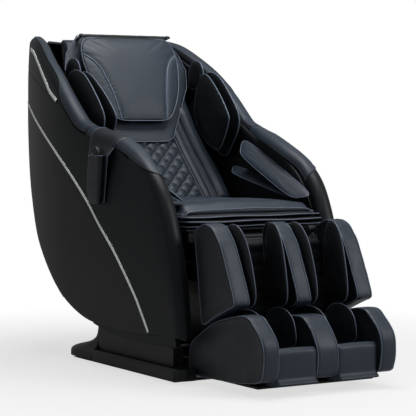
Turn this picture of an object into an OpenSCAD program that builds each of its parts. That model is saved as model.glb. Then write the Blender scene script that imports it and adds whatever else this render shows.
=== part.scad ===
// Massage chair on a sliding base: one-piece reclining body with tall side
// shells, quilted back, airbag pads, calf rest and extending footrest.
// Frame: +Z up, the chair faces -Y, origin on the floor under its middle.
// Millimetres. Outlines are drawn at the nominal size and stretched to the
// overall width, height and length set below.

/* [Overall] */
// Width over the side shells
chair_w = 760; // [640:10:920]
// Height of the side shells
chair_h = 1176; // [1000:4:1420]
// Length from the footrest to the rear cover
chair_l = 1590; // [1400:10:1800]

/* [Side shells] */
// Thickness of the moulded skins
skin_t = 4; // [3:0.5:6]
// Width of the rolled front edge, outer face to inner face
edge_w = 62; // [50:1:74]
// Width of the armrest pads
armrest_w = 78; // [64:1:90]
// Running gap between neighbouring skins
seam_gap = 0.8; // [0.4:0.1:0.9]
// Width of the bright trim strips
trim_w = 9; // [6:1:14]
// Thickness of the bright trim strips
trim_t = 1.8; // [1:0.1:3]

/* [Upholstery] */
// Width of one diamond of the quilting at the seat end
diamond_w = 54; // [40:1:70]
// Height of one diamond of the quilting
diamond_h = 54; // [40:1:70]
// Thickness of the back pad behind its quilting
back_pad_t = 44; // [30:1:50]
// Thickness of each airbag layer at the seat front
seat_layer_t = 15; // [10:1:17]
// Thickness of the head pillow
pillow_t = 46; // [34:1:58]

/* [Leg rests] */
// Thickness of the outer calf walls
calf_wall_t = 63; // [50:1:72]
// Thickness of the centre calf wall
calf_mid_t = 58; // [44:1:66]
// Thickness of the calf airbag pads
calf_pad_t = 24; // [16:1:30]
// Lift of the calf rest, degrees
lift_max = 80; // [60:1:84]
// Travel of the footrest
foot_travel = 150; // [80:5:170]

/* [Mechanism] */
// Radius of the recline pivot pins
pivot_r = 10; // [8:0.5:13]
// Radius of the calf rest pivot pins
knee_r = 8; // [6:0.5:9]
// Radial running clearance on pins
pin_clear = 0.05; // [0.02:0.01:0.1]
// Recline of the body, degrees
tilt_max = 26; // [15:1:27]
// Forward slide of the body while it reclines
slide_max = 170; // [120:5:190]
// Module of the massage track racks
rack_m = 4; // [3:0.5:5]
// Teeth on each track pinion
pinion_teeth = 14; // [12:1:17]
// Travel of the massage carriage along the track, degrees about the track centre
track_travel = 9; // [6:0.5:10]
// Radius of the massage rollers
roller_r = 34; // [26:1:38]
// Radius of the transport wheels
wheel_r = 24; // [18:1:28]
// Radius of the levelling feet
foot_r = 20; // [14:1:26]

/* [Hidden] */
$fn = 48;

leather = "#3f444c";
leather_dark = "#171c22";
shell_dark = "#23282b";
shell_olive = "#2b302d";
silver = "#d5d9dc";
plastic_black = "#121416";
steel = "#5b6066";

// Stretch from the nominal size to the size asked for
kx = chair_w / 760;
ky = chair_l / 1590;
kz = chair_h / 1176;
function at(x, y, z) = [x * kx, y * ky, z * kz];
function Y(v) = v * ky;
function Z(v) = v * kz;

// ---- curves and skins ----
function lerp(a, b, t) = a + (b - a) * t;
function unit(v) = v / norm(v);
function ease(t) = let(s = min(max(t, 0), 1)) s * s * (3 - 2 * s);
// Catmull-Rom curve through the points p, t from 0 to 1
function blend4(a, b, c, d, t) =
    0.5 * (2 * b + (c - a) * t + (2 * a - 5 * b + 4 * c - d) * t * t + (3 * b - a - 3 * c + d) * t * t * t);
function curve(p, t) =
    let(n = len(p) - 1, s = min(max(t, 0), 1) * n, i = min(floor(s), n - 1))
    blend4(p[max(i - 1, 0)], p[i], p[i + 1], p[min(i + 2, n)], s - i);
// Closed curve through the points p, as n points
function loop_curve(p, n) =
    [for (k = [0:n - 1]) let(m = len(p), s = k / n * m, i = floor(s))
        blend4(p[(i + m - 1) % m], p[i], p[(i + 1) % m], p[(i + 2) % m], s - i)];
// Slope direction of a curve
function along(p, t) = unit(curve(p, min(t + 0.01, 1)) - curve(p, max(t - 0.01, 0)));

function tri_volume(a, b, c) = a * cross(b, c);
function mesh_volume(pts, faces) = [for (f = faces) tri_volume(pts[f[0]], pts[f[1]], pts[f[2]])] * [for (f = faces) 1];
// Closed solid of triangles, turned so that its faces point outwards
module solid(pts, faces) {
    flip = mesh_volume(pts, faces) > 0;
    polyhedron(pts, flip ? [for (f = faces) [f[2], f[1], f[0]]] : faces);
}
function quad(a, b, c, d) = [[a, b, c], [a, c, d]];
// Solid swept through rings of equal count; the ends are closed between the
// first and second half of each ring, so thin curved sections close as well
module skin(rings) {
    n = len(rings);
    m = len(rings[0]);
    h = m / 2;
    sides = [for (i = [0:n - 2]) for (j = [0:m - 1])
        each quad(i * m + j, i * m + (j + 1) % m, (i + 1) * m + (j + 1) % m, (i + 1) * m + j)];
    first = [for (j = [0:h - 2]) each quad(m - 1 - j, m - 2 - j, j + 1, j)];
    last = [for (f = first) [f[2], f[1], f[0]] + [1, 1, 1] * (n - 1) * m];
    solid([for (r = rings) each r], concat(sides, first, last));
}
// Padded form: an outline (u, v) in the plane of eu and ev through o, crowned
// to both sides with its rim drawn in to a seam
module pad(outline, o, eu, ev, t, crown = 1, flat_back = false) {
    n = len(outline);
    c = [for (i = [0:n - 1]) 1 / n] * outline;
    ew = cross(unit(eu), unit(ev));
    function place(p, w) = o + p[0] * eu + p[1] * ev + w * ew;
    steps = [[0.93, 0.72], [0.6, 0.97]];
    back = flat_back ? 0.25 : 1;
    rim = [for (p = outline) place(p, 0)];
    front = [for (s = steps) for (p = outline) place(lerp(c, p, s[0]), s[1] * crown * t / 2)];
    rear = [for (s = steps) for (p = outline) place(lerp(c, p, s[0]), -s[1] * back * t / 2)];
    pts = concat(rim, front, rear, [place(c, crown * t / 2), place(c, -back * t / 2)]);
    function ring_faces(a, b) = [for (j = [0:n - 1]) each quad(a + j, a + (j + 1) % n, b + (j + 1) % n, b + j)];
    function turned(f) = [for (t = f) [t[2], t[1], t[0]]];
    faces = concat(ring_faces(0, n), ring_faces(n, 2 * n),
        [for (j = [0:n - 1]) [2 * n + j, 2 * n + (j + 1) % n, 5 * n]],
        turned(ring_faces(0, 3 * n)), turned(ring_faces(3 * n, 4 * n)),
        turned([for (j = [0:n - 1]) [4 * n + j, 4 * n + (j + 1) % n, 5 * n + 1]]));
    solid(pts, faces);
}
// Upholstered wall: an outline (y, z) of thickness t about the plane x, edges rounded by r
module slab(outline, x, t, r) {
    n = len(outline);
    c = [for (i = [0:n - 1]) 1 / n] * outline;
    function inset(p, d) = p - unit(p - c) * d;
    steps = [[r, -t / 2], [r * 0.3, -t / 2 + r * 0.3], [0, -t / 2 + r], [0, t / 2 - r],
             [r * 0.3, t / 2 - r * 0.3], [r, t / 2]];
    rings = [for (s = steps) [for (p = outline) let(q = inset(p, s[0])) [x + s[1], q[0] * ky, q[1] * kz]]];
    pts = concat([for (g = rings) each g], [[x - t / 2, c[0] * ky, c[1] * kz], [x + t / 2, c[0] * ky, c[1] * kz]]);
    m = len(steps);
    sides = [for (i = [0:m - 2]) for (j = [0:n - 1])
        each quad(i * n + j, i * n + (j + 1) % n, (i + 1) * n + (j + 1) % n, (i + 1) * n + j)];
    ends = [for (j = [0:n - 1]) each [[(j + 1) % n, j, m * n],
        [(m - 1) * n + j, (m - 1) * n + (j + 1) % n, m * n + 1]]];
    solid(pts, concat(sides, ends));
}
module on_side(side) {
    if (side < 0) children();
    else mirror([1, 0, 0]) children();
}
module tube_x(y, z, r, x0, x1) {
    translate([x0, y, z]) rotate([0, 90, 0]) cylinder(r = r, h = x1 - x0);
}
module tube_y(x, z, r, y0, y1) {
    translate([x, y0, z]) rotate([-90, 0, 0]) cylinder(r = r, h = y1 - y0);
}
module box(x0, x1, y0, y1, z0, z1) {
    translate([x0, y0, z0]) cube([x1 - x0, y1 - y0, z1 - z0]);
}
// Plate of a (y, z) outline between two x planes
module plate_x(outline, x0, x1) {
    translate([x0, 0, 0]) rotate([90, 0, 90]) linear_extrude(x1 - x0) polygon(outline);
}

// ---- side shell surface ----
// Outline curves of the side shell as (y, z): ridge of the wing, top and front
// of the arm, the trim line, the rear and lower edge, and the wing seam
ridge_line = [[765, 1172], [651, 1145], [531, 1084], [425, 1021], [330, 948], [252, 884], [202, 851]];
arm_line = [[202, 851], [100, 822], [-2, 798], [-152, 738], [-262, 661], [-332, 549], [-384, 388], [-404, 261], [-408, 151]];
trim_line = [[788, 925], [654, 880], [463, 793], [296, 693], [150, 585], [57, 498], [-43, 408], [-142, 295], [-184, 234], [-229, 151]];
rear_line = [[794, 905], [793, 839], [768, 745], [727, 640], [672, 545], [600, 430], [500, 335], [395, 253], [290, 198], [170, 162], [40, 151], [-110, 147], [-222, 147]];
seam_line = [[786, 1047], [658, 1021], [509, 970], [359, 916], [326, 904]];
arm_points = [for (i = [1:len(arm_line) - 1]) arm_line[i]];
top_of_main = concat([for (i = [2:6]) ridge_line[i]], arm_points);
whole_top = concat(ridge_line, arm_points);
top_heights = [[-408, 151], [-404, 261], [-384, 388], [-332, 549], [-262, 661], [-152, 738], [-2, 798], [202, 851],
               [330, 948], [531, 1084], [765, 1172]];
// Half width of the shell at a point of its side, nominal size
bulge_y = 320;
shell_half = 380;
function mid_half(y) = y < bulge_y
    ? shell_half - 45 * pow((bulge_y - y) / 740, 1.6)
    : shell_half - 95 * pow((y - bulge_y) / 480, 2);
function shell_x(q) =
    let(top = lookup(q[0], top_heights),
        roll = max(0, 1 - (top - q[1]) / 220),
        tuck = max(0, 1 - (q[1] - 145) / 300))
    mid_half(q[0]) - (8 + 20 * exp(-pow((q[0] + 20) / 150, 2))) * roll * roll - 14 * tuck * tuck;
function on_shell(q, depth = 0) = at(-shell_x(q), q[0], q[1]) + [depth, 0, 0];

// One section of a skin from point a to point b of the side, closed by a
// rounded edge of radius r at b that returns inwards
function shell_section(a, b, m, r, ret) =
    let(d = unit(b - a), e = b - d * r, xe = shell_x(e),
        outer = concat([for (k = [0:m]) on_shell(lerp(a, e, k / m))],
            [for (f = [36:36:180]) at(-xe, 0, 0) + [r * (1 - cos(f)), 0, 0] + flat(e + d * r * sin(f))],
            [at(-xe, 0, 0) + [2 * r, 0, 0] + flat(e - d * ret)]),
        inner = concat([for (k = [0:m]) on_shell(lerp(a, e, k / m), skin_t)],
            [for (f = [36:36:180]) at(-xe, 0, 0) + [r - (r - skin_t) * cos(f), 0, 0] + flat(e + d * (r - skin_t) * sin(f))],
            [at(-xe, 0, 0) + [2 * r - skin_t, 0, 0] + flat(e - d * ret)]))
    concat(outer, [for (i = [len(inner) - 1:-1:0]) inner[i]]);
function flat(q) = [0, q[0] * ky, q[1] * kz];
// The same without a rounded edge
function sheet_section(a, b, m, t, depth = 0) = concat(
    [for (k = [0:m]) on_shell(lerp(a, b, k / m), depth)],
    [for (k = [m:-1:0]) on_shell(lerp(a, b, k / m), depth + t)]);

// ---- side shells (drawn for -X, mirrored for +X) ----
edge_r = edge_w / 2;
lip_r = skin_t + 0.5;
pad_from = 0.365;   // armrest pad's stretch of the top line
pad_to = 0.6;
// Normal of an outline, pointing out of the shell
function edge_normal(line, u) = let(t = along(line, u)) [t[1], -t[0]];
// Where a hard skin stops under the padded edge
function under_edge(line, u) = curve(line, u) - edge_normal(line, u) * (edge_r + seam_gap + 0.6);
wing_u = 0.3;       // where the wing seam ends on the trim line

function main_section(u) =
    let(a = curve(trim_line, u), t = u < wing_u ? curve(seam_line, u / wing_u) : curve(top_of_main, u),
        b = u > pad_to ? t : u < wing_u ? t - unit(t - a) * seam_gap / 2
            : under_edge(whole_top, lerp(4.3, 12 * pad_to + 2, (u - wing_u) / (pad_to - wing_u)) / 14),
        lower = a + unit(t - a) * seam_gap / 2)
    shell_section(lower, b, 7, u > pad_to ? edge_r : lip_r, u > pad_to ? 8 : 4);
side_steps = [0, 0.07, 0.14, 0.21, 0.27, wing_u - 0.005, wing_u, 0.34, 0.38, 0.42, 0.46, 0.51, 0.56, pad_to,
    pad_to + 0.012, 0.64, 0.68, 0.72, 0.76, 0.81, 0.86, 0.93, 1];
module main_panel_half() {
    color(shell_dark) skin([for (u = side_steps) main_section(u)]);
}
module rear_panel_half() {
    color(shell_olive) skin([for (u = side_steps)
        let(a = curve(rear_line, u), b = curve(trim_line, u))
        sheet_section(a, b - unit(b - a) * seam_gap / 2, 5, skin_t)]);
}
module wing_panel_half() {
    color(shell_dark) skin([for (i = [0:12])
        let(a = curve(seam_line, 0.92 * i / 12), u = 0.66 * i / 12, b = under_edge(ridge_line, u))
        shell_section(a + unit(b - a) * seam_gap / 2, b, 4, lip_r, 4)]);
}
// Strip of trim along a line of the side, standing on the skin
function trim_section(line, u) =
    let(n = edge_normal(line, u), q = curve(line, u), a = q - n * trim_w / 2, b = q + n * trim_w / 2)
    [on_shell(a, -0.5), on_shell(a, -0.5 - trim_t), on_shell(b, -0.5 - trim_t), on_shell(b, -0.5)];
short_trim = [[650, 1104], [560, 1050], [494, 1004], [441, 962], [385, 930]];
module silver_trim_half() {
    color(silver) {
        skin([for (u = [0.015:0.97 / 28:0.986]) trim_section(trim_line, u)]);
        skin([for (u = [0:1 / 10:1.001]) trim_section(short_trim, u)]);
    }
}
// Padded D section of width w on an outline of the shell
function edge_section(line, u, w) =
    let(n = edge_normal(line, u), c = curve(line, u) - n * edge_r, x = -kx * shell_x(c))
    [for (f = [0:22.5:157.5]) [x + w / 2 * (1 - cos(f)), 0, 0] + flat(c + n * edge_r * sin(f)),
     [x + w - 0.2, 0, 0] + flat(c), [x + w / 2, 0, 0] + flat(c)];
module edge_band_half() {
    color(leather) skin([for (i = [0:20]) edge_section(ridge_line, 0.975 * i / 20, edge_w)]);
}
module armrest_pad_half() {
    color(leather) skin([for (i = [0:14])
        edge_section(top_of_main, lerp(pad_from, pad_to - 0.002, i / 14), lerp(edge_w, armrest_w, ease(i / 5)))]);
}
lining_t = 8;
lining_depth = edge_w + 0.5;
function inner_half(y, z) = kx * shell_x([y, z]) - lining_depth - lining_t;
rig_z = Z(468);     // outriggers that carry the shells
rig_r = 12;
lining_z = (rig_z + rig_r + 0.3) / kz;
lining_low = [[640, 1085], [540, 930], [440, 770], [330, 600], [262, 506], [190, lining_z + 2.2], [60, lining_z + 1.7],
              [-120, lining_z], [-300, lining_z]];
lining_top = [[700, 1132], [600, 1076], [440, 985], [300, 870], [200, 823], [100, 782], [-60, 734], [-190, 656],
              [-270, 552]];
module inner_panel_half() {
    color(leather_dark) skin([for (i = [0:26])
        sheet_section(curve(lining_low, i / 26), curve(lining_top, i / 26), 3, lining_t, lining_depth)]);
}
skirt_top = [[150, 168], [40, 160], [-110, 157], [-260, 157], [-368, 161]];
skirt_low = [[128, 151], [19, 129], [-95, 121], [-223, 117], [-338, 119], [-372, 122]];
module skirt_half() {
    color(shell_dark) skin([for (i = [0:10])
        sheet_section(curve(skirt_low, i / 10), curve(skirt_top, i / 10), 2, 18, skin_t + 0.6)]);
}
cover_line = [[660, 1140], [715, 1149], [748, 1120], [764, 1070], [779, 1010], [789, 920], [788, 845], [764, 752],
              [723, 648], [668, 552], [597, 437], [498, 342], [393, 260], [345, 228]];
module back_cover() {
    function half_at(q) = kx * shell_x(q) - lerp(skin_t + seam_gap, edge_w + seam_gap, ease((q[1] - 1020) / 60));
    function section(u, d) =
        let(q = curve(cover_line, u), n = edge_normal(cover_line, u), h = half_at(q) - d)
        [for (i = [0:8]) let(f = i / 4 - 1)
            [f * h, 0, 0] + flat(q - n * (d + 1 - 7 * (1 - pow(abs(f), 3))))];
    color(shell_dark) skin([for (i = [0:20])
        let(f = section(i / 20, 0), g = section(i / 20, skin_t))
        concat(f, [for (k = [8:-1:0]) g[k]])]);
}

// ---- back track arc ----
// Circle through three points (y, z): [centre y, centre z, radius]
function circle3(a, b, c) =
    let(d = 2 * (a[0] * (b[1] - c[1]) + b[0] * (c[1] - a[1]) + c[0] * (a[1] - b[1])),
        aa = a * a, bb = b * b, cc = c * c,
        y = (aa * (b[1] - c[1]) + bb * (c[1] - a[1]) + cc * (a[1] - b[1])) / d,
        z = (aa * (c[0] - b[0]) + bb * (a[0] - c[0]) + cc * (b[0] - a[0])) / d)
    [y, z, norm(a - [y, z])];
back_foot = [Y(255), Z(560)];
back_head = [Y(590), Z(1128)];
arc = circle3(back_foot, [Y(444), Z(831)], back_head);
arc_y = arc[0];
arc_z = arc[1];
arc_r = arc[2];
arc_a0 = atan2(back_foot[1] - arc_z, back_foot[0] - arc_y);
arc_a1 = atan2(back_head[1] - arc_z, back_head[0] - arc_y);
arc_len = arc_r * (arc_a1 - arc_a0) * PI / 180;
// Point (y, z) at the fraction s of the back, d behind its surface
function back_at(s, d) = let(a = lerp(arc_a0, arc_a1, s)) [arc_y + (arc_r + d) * cos(a), arc_z + (arc_r + d) * sin(a)];
function spot(x, q) = [x, q[0], q[1]];
// Fraction of the back at a nominal height
function s_of(z) = (z - 560) / 568;
// Axes and placing for what runs on the track: children drawn about the arc
// centre in the plane of the track (x radial, y up the track), z becomes +X
module track_place(x) {
    translate([x, arc_y, arc_z]) rotate([90, 0, 90]) children();
}

// ---- upholstery ----
// Relief surface over a grid of points with a two point back line per row;
// creases join the low points of the chequer when quilted
module relief(grid, back) {
    rows = len(grid);
    cols = len(grid[0]);
    n = rows * cols;
    mid = (cols - 1) / 2;
    pts = concat([for (r = grid) each r], [for (b = back) each b]);
    front = [for (j = [0:rows - 2]) for (i = [0:cols - 2])
        let(a = j * cols + i, b = a + 1, c = b + cols, d = a + cols)
        each (abs(i + j - mid) % 2 == 0 ? [[a, b, d], [b, c, d]] : [[a, b, c], [a, c, d]])];
    sides = [for (j = [0:rows - 2])
        let(l = j * cols, r = l + cols - 1, bl = n + 2 * j, br = bl + 1)
        each concat(quad(l, l + cols, bl + 2, bl), quad(r + cols, r, br, br + 2), quad(bl, bl + 2, br + 2, br))];
    first = concat([for (i = [0:cols - 2]) [n, i + 1, i]], [[n, n + 1, cols - 1]]);
    e = (rows - 1) * cols;
    be = n + 2 * (rows - 1);
    last = concat([for (i = [0:cols - 2]) [be, e + i, e + i + 1]], [[be, e + cols - 1, be + 1]]);
    solid(pts, concat(front, sides, first, last));
}
// Half width of the back pad and of its quilted middle by height
pad_halves = [[540, 292], [600, 290], [684, 285], [759, 262], [834, 247], [921, 238], [1045, 236], [1128, 228], [1180, 222]];
quilt_halves = [[540, 174], [716, 146], [790, 137], [900, 118], [1128, 100], [1180, 98]];
module back_pad() {
    quilt_cols = max(3, round(lookup(560, quilt_halves) * kx / (diamond_w / 2)));
    low = s_of(548);
    high = s_of(1160);
    rows = 2 * round(arc_len * (high - low) / diamond_h);
    bolster = [[0.1, 10], [0.3, 22], [0.44, 15], [0.58, 22], [0.84, 10], [1, -18]];
    quilt_ends = 0.62;
    function heights(s, j) = concat(
        [for (i = [0:quilt_cols]) i == quilt_cols ? -5
            : s < quilt_ends ? ((i + j) % 2 == 0 ? 6 : -3) : 1],
        [for (b = bolster) b[1] < 0 ? b[1] : b[1] * lerp(1, 0.1, ease((s - 0.3) / 0.2))]);
    function widths(z) =
        let(q = lookup(z, quilt_halves), h = lookup(z, pad_halves))
        concat([for (i = [0:quilt_cols]) q * i / quilt_cols], [for (b = bolster) lerp(q, h, b[0])]) * kx;
    function row(j) =
        let(s = lerp(low, high, j / rows), z = lerp(560, 1128, s), w = widths(z),
            end = j == 0 || j == rows,
            drop = end ? 16 : (j == 1 || j == rows - 1) ? 5 : 0,
            hs = heights(s, j), m = len(w) - 1)
        [for (i = [-m:m]) spot(sign(i) * w[abs(i)], back_at(s, end ? drop : drop - hs[abs(i)]))];
    color(leather) relief([for (j = [0:rows]) row(j)],
        [for (j = [0:rows])
            let(s = lerp(low, high, j / rows), h = lookup(lerp(560, 1128, s), pad_halves) * kx)
            [spot(-h + 3, back_at(s, back_pad_t)), spot(h - 3, back_at(s, back_pad_t))]]);
}
pillow_foot = [Y(405), Z(864)];
pillow_head = [Y(531), Z(1128)];
pillow_dir = unit(pillow_head - pillow_foot);
rod_r = 4.4;         // rod in the pillow's top hem, held by loops on the drape
pillow_hinge = pillow_foot + pillow_dir * (334 * kz + rod_r + 0.8);
drape_halves = [[784, 96], [797, 126], [850, 160], [906, 196], [983, 244], [1045, 258], [1100, 240], [1128, 214], [1166, 180]];
module drape_flap() {
    function section(z) =
        let(w = lookup(z, drape_halves) * kx, s = s_of(z), t = z > 1120 || z < 790 ? 3 : 5)
        concat([for (f = [-1, -0.7, 0, 0.7, 1]) spot(f * w, back_at(s, -9 - (abs(f) == 1 ? 1 : t)))],
               [for (f = [1, 0.7, 0, -0.7, -1]) spot(f * w, back_at(s, -7 - (abs(f) == 1 ? 0 : -0.3)))]);
    color(leather) {
        skin([for (z = [784, 792, 820, 860, 900, 940, 980, 1020, 1060, 1100, 1130, 1150, 1166]) section(z)]);
        for (side = [-1, 1]) hinge_loop(side < 0 ? -190 * kx : 190 * kx - 14);
    }
}
// Loop round the pillow's rod on a short strap from the drape
module hinge_loop(x) {
    root = back_at(s_of(1144), -9);
    n = unit(pillow_hinge - root) * 1.5;
    across = [-n[1], n[0]];
    difference() {
        union() {
            tube_x(pillow_hinge[0], pillow_hinge[1], rod_r + 3, x, x + 14);
            plate_x([root + across, root - across, pillow_hinge - across, pillow_hinge + across], x, x + 14);
        }
        tube_x(pillow_hinge[0], pillow_hinge[1], rod_r + 0.3, x - 1, x + 15);
    }
}
module head_pillow() {
    half = [[0, -10], [80, -9], [112, 2], [138, 34], [166, 88], [186, 150], [198, 216], [199, 262], [191, 300], [168, 326], [110, 333], [0, 334]];
    control = concat(half, [for (i = [len(half) - 2:-1:1]) [-half[i][0], half[i][1]]]);
    outline = [for (p = loop_curve(control, 30)) [p[0] * kx, p[1] * kz]];
    color(leather) {
        pad(outline, spot(0, pillow_foot), [1, 0, 0], spot(0, pillow_dir), pillow_t, 1);
        tube_x(pillow_hinge[0], pillow_hinge[1], rod_r, -194 * kx, 194 * kx);
    }
}
shoulder_tilt = 10;
wing_plate_x = 268;  // plates that carry the shoulder airbags
module shoulder_airbags_half() {
    inner = [[-6, 40], [-14, 120], [20, 196], [70, 214], [130, 196], [230, 130], [300, 66], [306, 36], [270, -20], [216, -66], [140, -54], [60, -20]];
    outer = [[-6, 40], [-20, 130], [10, 206], [70, 226], [150, 206], [240, 140], [310, 70], [312, 20], [275, -32], [212, -84], [130, -66], [50, -20]];
    eu = [sin(shoulder_tilt), -cos(shoulder_tilt), 0];
    inner_t = 22;
    outer_t = 18;
    x_in = -wing_plate_x * kx + 2 + inner_t / 2 - 1.8;
    x_out = -wing_plate_x * kx - 2 - outer_t / 2 - 5.5;
    color(leather_dark) {
        pad(loop_curve([for (p = inner) [p[0] * ky, p[1] * kz]], 22), [x_in, Y(452), Z(815)], eu, [0, 0, 1], inner_t);
        pad(loop_curve([for (p = outer) [p[0] * ky, p[1] * kz]], 22), [x_out, Y(462), Z(810)], [sin(4), -cos(4), 0], [0, 0, 1], outer_t);
    }
}
module arm_airbags_half() {
    // the upper flap hangs from the armrest, the lower one lies beside the seat
    top_a = at(-(shell_x([150, 770]) - 75.4), 150, 782);
    top_b = at(-(shell_x([-280, 600]) - 75.4), -276, 612);
    low_a = at(-(shell_x([220, 680]) - 67), 220, 664);
    low_b = at(-(shell_x([-280, 590]) - 67), -255, 577);
    function leaf(len, w) = loop_curve([[0, 6], [4, w * 0.7], [len * 0.12, w], [len * 0.5, w * 1.04], [len * 0.86, w * 0.96],
        [len * 0.98, w * 0.62], [len, 4], [len * 0.5, 0]], 22);
    color(leather) pad(leaf(norm(top_b - top_a), 62), top_a, unit(top_b - top_a), unit([0.78, 0, -0.62]), 16);
    color(leather_dark) pad(leaf(norm(low_b - low_a), 50), low_a, unit(low_b - low_a), unit([0.97, 0, 0.24]), 15);
}

// ---- seat ----
seat_top = 572;
seat_pan = 500;      // top of the seat pan
layer_gap = 0.4;
function layer_z(i) = Z(seat_pan) + layer_gap + (i + 0.5) * (seat_layer_t + layer_gap);
layers_top = layer_z(2) + seat_layer_t / 2;
seat_half = inner_half(-300, 560) - 8;
seat_back_y = 214;
module seat_cushion() {
    ys = [-314, -306, -280, -230, -180, -130, -88, -76, -20, 40, 100, 160, 206, seat_back_y];
    function top(f, i) = i == 0 || i == len(ys) - 1 ? Z(seat_top) - 12
        : Z(seat_top) + (i == 1 ? 2 : 8) + 7 * cos(f * 90) - (abs(f) > 0.9 ? 8 : 0) - (abs(abs(f) - 0.62) < 0.05 ? 5 : 0)
          - (i % 3 == 0 ? 3 : 0);
    function under(i) = ys[i] < -80 ? layers_top + layer_gap : Z(seat_pan) + layer_gap;
    function half_at(i) = seat_half - (i == 0 || i == len(ys) - 1 ? 8 : i == 1 ? 2 : 0);
    fs = [-1, -0.93, -0.78, -0.62, -0.45, -0.2, 0, 0.2, 0.45, 0.62, 0.78, 0.93, 1];
    color(leather) relief(
        [for (i = [0:len(ys) - 1]) [for (f = fs) [f * half_at(i), Y(ys[i]), abs(f) == 1 ? Z(seat_top) - 12 : top(f, i)]]],
        [for (i = [0:len(ys) - 1]) [[-half_at(i) + 1, Y(ys[i]), under(i)], [half_at(i) - 1, Y(ys[i]), under(i)]]]);
}
module seat_airbags() {
    color(leather_dark) for (i = [0:2]) {
        front = [-366, -372, -360][i];
        h = seat_half + 2;
        control = [[-h, -92], [-h, -200], [-h, front + 40], [-h + 14, front + 8], [-h * 0.6, front], [0, front + 2],
                   [h * 0.6, front], [h - 14, front + 8], [h, front + 40], [h, -200], [h, -92], [0, -92]];
        pad([for (p = loop_curve(control, 28)) [p[0], min(Y(p[1]), Y(-92))]], [0, 0, layer_z(i)], [1, 0, 0], [0, 1, 0], seat_layer_t);
    }
}

// ---- leg rests ----
knee = [Y(-410), Z(492)];
leg_half = inner_half(-384, 388) - 3 + lining_t - 2;
// Rear face of the calf rest as (y, z) at a fraction down from its top
calf_top = [Y(-413), Z(470)];
calf_low = [Y(-452), Z(205)];
calf_dir = unit(calf_low - calf_top);
calf_rear = [-calf_dir[1], calf_dir[0]];
calf_outline = loop_curve([[-404, 480], [-406, 503], [-436, 518], [-467, 526], [-508, 515], [-538, 488], [-566, 452], [-612, 358],
    [-640, 290], [-632, 272], [-605, 262], [-520, 228], [-452, 200], [-440, 240], [-424, 330], [-409, 430]], 26);
calf_mid_outline = loop_curve([[-434, 496], [-465, 524], [-508, 515], [-538, 488], [-566, 452], [-612, 358],
    [-638, 290], [-628, 270], [-600, 258], [-530, 236], [-476, 222], [-466.6, 240], [-453.4, 330], [-437.2, 440]], 24);
calf_x = leg_half - calf_wall_t / 2;
channel_in = calf_mid_t / 2;
channel_out = leg_half - calf_wall_t;
module calf_wall_side(side) {
    color(leather) slab(calf_outline, side * calf_x, calf_wall_t, 9);
}
module calf_wall_centre() {
    color(leather) slab(calf_mid_outline, 0, calf_mid_t, 9);
}
module calf_back() {
    t = 20;
    w = channel_out - 0.5;
    function level(s, d) = calf_top + calf_dir * s - calf_rear * d;
    len = norm(calf_low - calf_top);
    color(leather_dark) skin([for (s = [0, 8, len / 3, len * 2 / 3, len - 8, len])
        let(e = s == 0 || s == len ? 6 : 0)
        concat([for (f = [-1, -0.9, -0.45, 0, 0.45, 0.9, 1]) spot(f * w, level(s, abs(f) == 1 ? e + 5 : t - e - (f == 0 ? 2 : 0)))],
               [for (f = [1, 0.9, 0.45, 0, -0.45, -0.9, -1]) spot(f * w, level(s, 0.3 + (abs(f) == 1 ? e * 0.5 : e / 2)))])]);
}
module calf_airbags() {
    shape = [[0, 9], [-6, 112], [4, 222], [34, 254], [74, 246], [112, 201], [142, 122], [160, 43], [150, 6], [112, -8], [60, -6], [16, -4]];
    lean = 7;
    root = [Y(-468), Z(268)];
    color(leather_dark) for (side = [-1, 1]) {
        for (k = [0, 1]) {
            x = k == 0 ? channel_in + calf_pad_t / 2 - 3 : channel_out - calf_pad_t / 2 + 3;
            turn = k == 0 ? lean : -lean;
            pad(loop_curve([for (p = shape) [p[0] * ky, p[1] * kz]], 22), [side * x, root[0], root[1]],
                [side * sin(turn), -cos(turn), 0], unit([0, -0.02, 1]), calf_pad_t * 0.98);
        }
    }
}
slide_x = 120;
slide_r = 8;
slide_tube_r = 11;
slide_top = calf_top + calf_dir * Z(20) + calf_rear * 13;
slide_len = Z(200);
arm_x = 170;         // calf frame arms, inner face
arm_t = 10;
lever_len = 84;      // calf lever, knee axis to drive pin
lever_pin = knee + lever_len * [sin(lift_max / 2), -cos(lift_max / 2)];
drive_pin_r = 7;
module slide_place(x, s) {
    p = slide_top + calf_dir * s;
    translate([x, p[0], p[1]]) rotate([-atan2(-calf_dir[0], -calf_dir[1]), 0, 0]) children();
}
module calf_frame() {
    top = calf_top + calf_rear * 0.4;
    low = calf_low + calf_rear * 0.4;
    cross_at = calf_top + calf_dir * Z(24) + calf_rear * 12;
    cross_low = calf_top + calf_dir * Z(190) + calf_rear * 12;
    color(steel) difference() {
        union() {
            for (side = [-1, 1]) {
                x0 = side < 0 ? -arm_x - arm_t : arm_x;
                plate_x([knee + [-11, 0], knee + [11, 0], top + calf_rear * 18, low + calf_rear * 18, low, top], x0, x0 + arm_t);
                tube_x(knee[0], knee[1], 13, x0, x0 + arm_t);
                slide_place(side * slide_x, slide_len) cylinder(r = slide_tube_r, h = slide_len);
            }
            tube_x(cross_at[0], cross_at[1], 9, -arm_x - 1, arm_x + 1);
            tube_x(cross_low[0], cross_low[1], 9, -arm_x - 1, arm_x + 1);
            plate_x([cross_at + [-8, 4], cross_at + [4, 8], lever_pin + [9, 6], lever_pin + [7, -8], cross_at + [-6, -8]], -5, 5);
            tube_x(lever_pin[0], lever_pin[1], drive_pin_r, -14, 14);
        }
        tube_x(knee[0], knee[1], knee_r + pin_clear, -arm_x - arm_t - 1, -arm_x + 1);
        tube_x(knee[0], knee[1], knee_r + pin_clear, arm_x - 1, arm_x + arm_t + 1);
        for (side = [-1, 1]) slide_place(side * slide_x, slide_len + 1) cylinder(r = slide_r + 0.3, h = slide_len + 20);
    }
}
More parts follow.
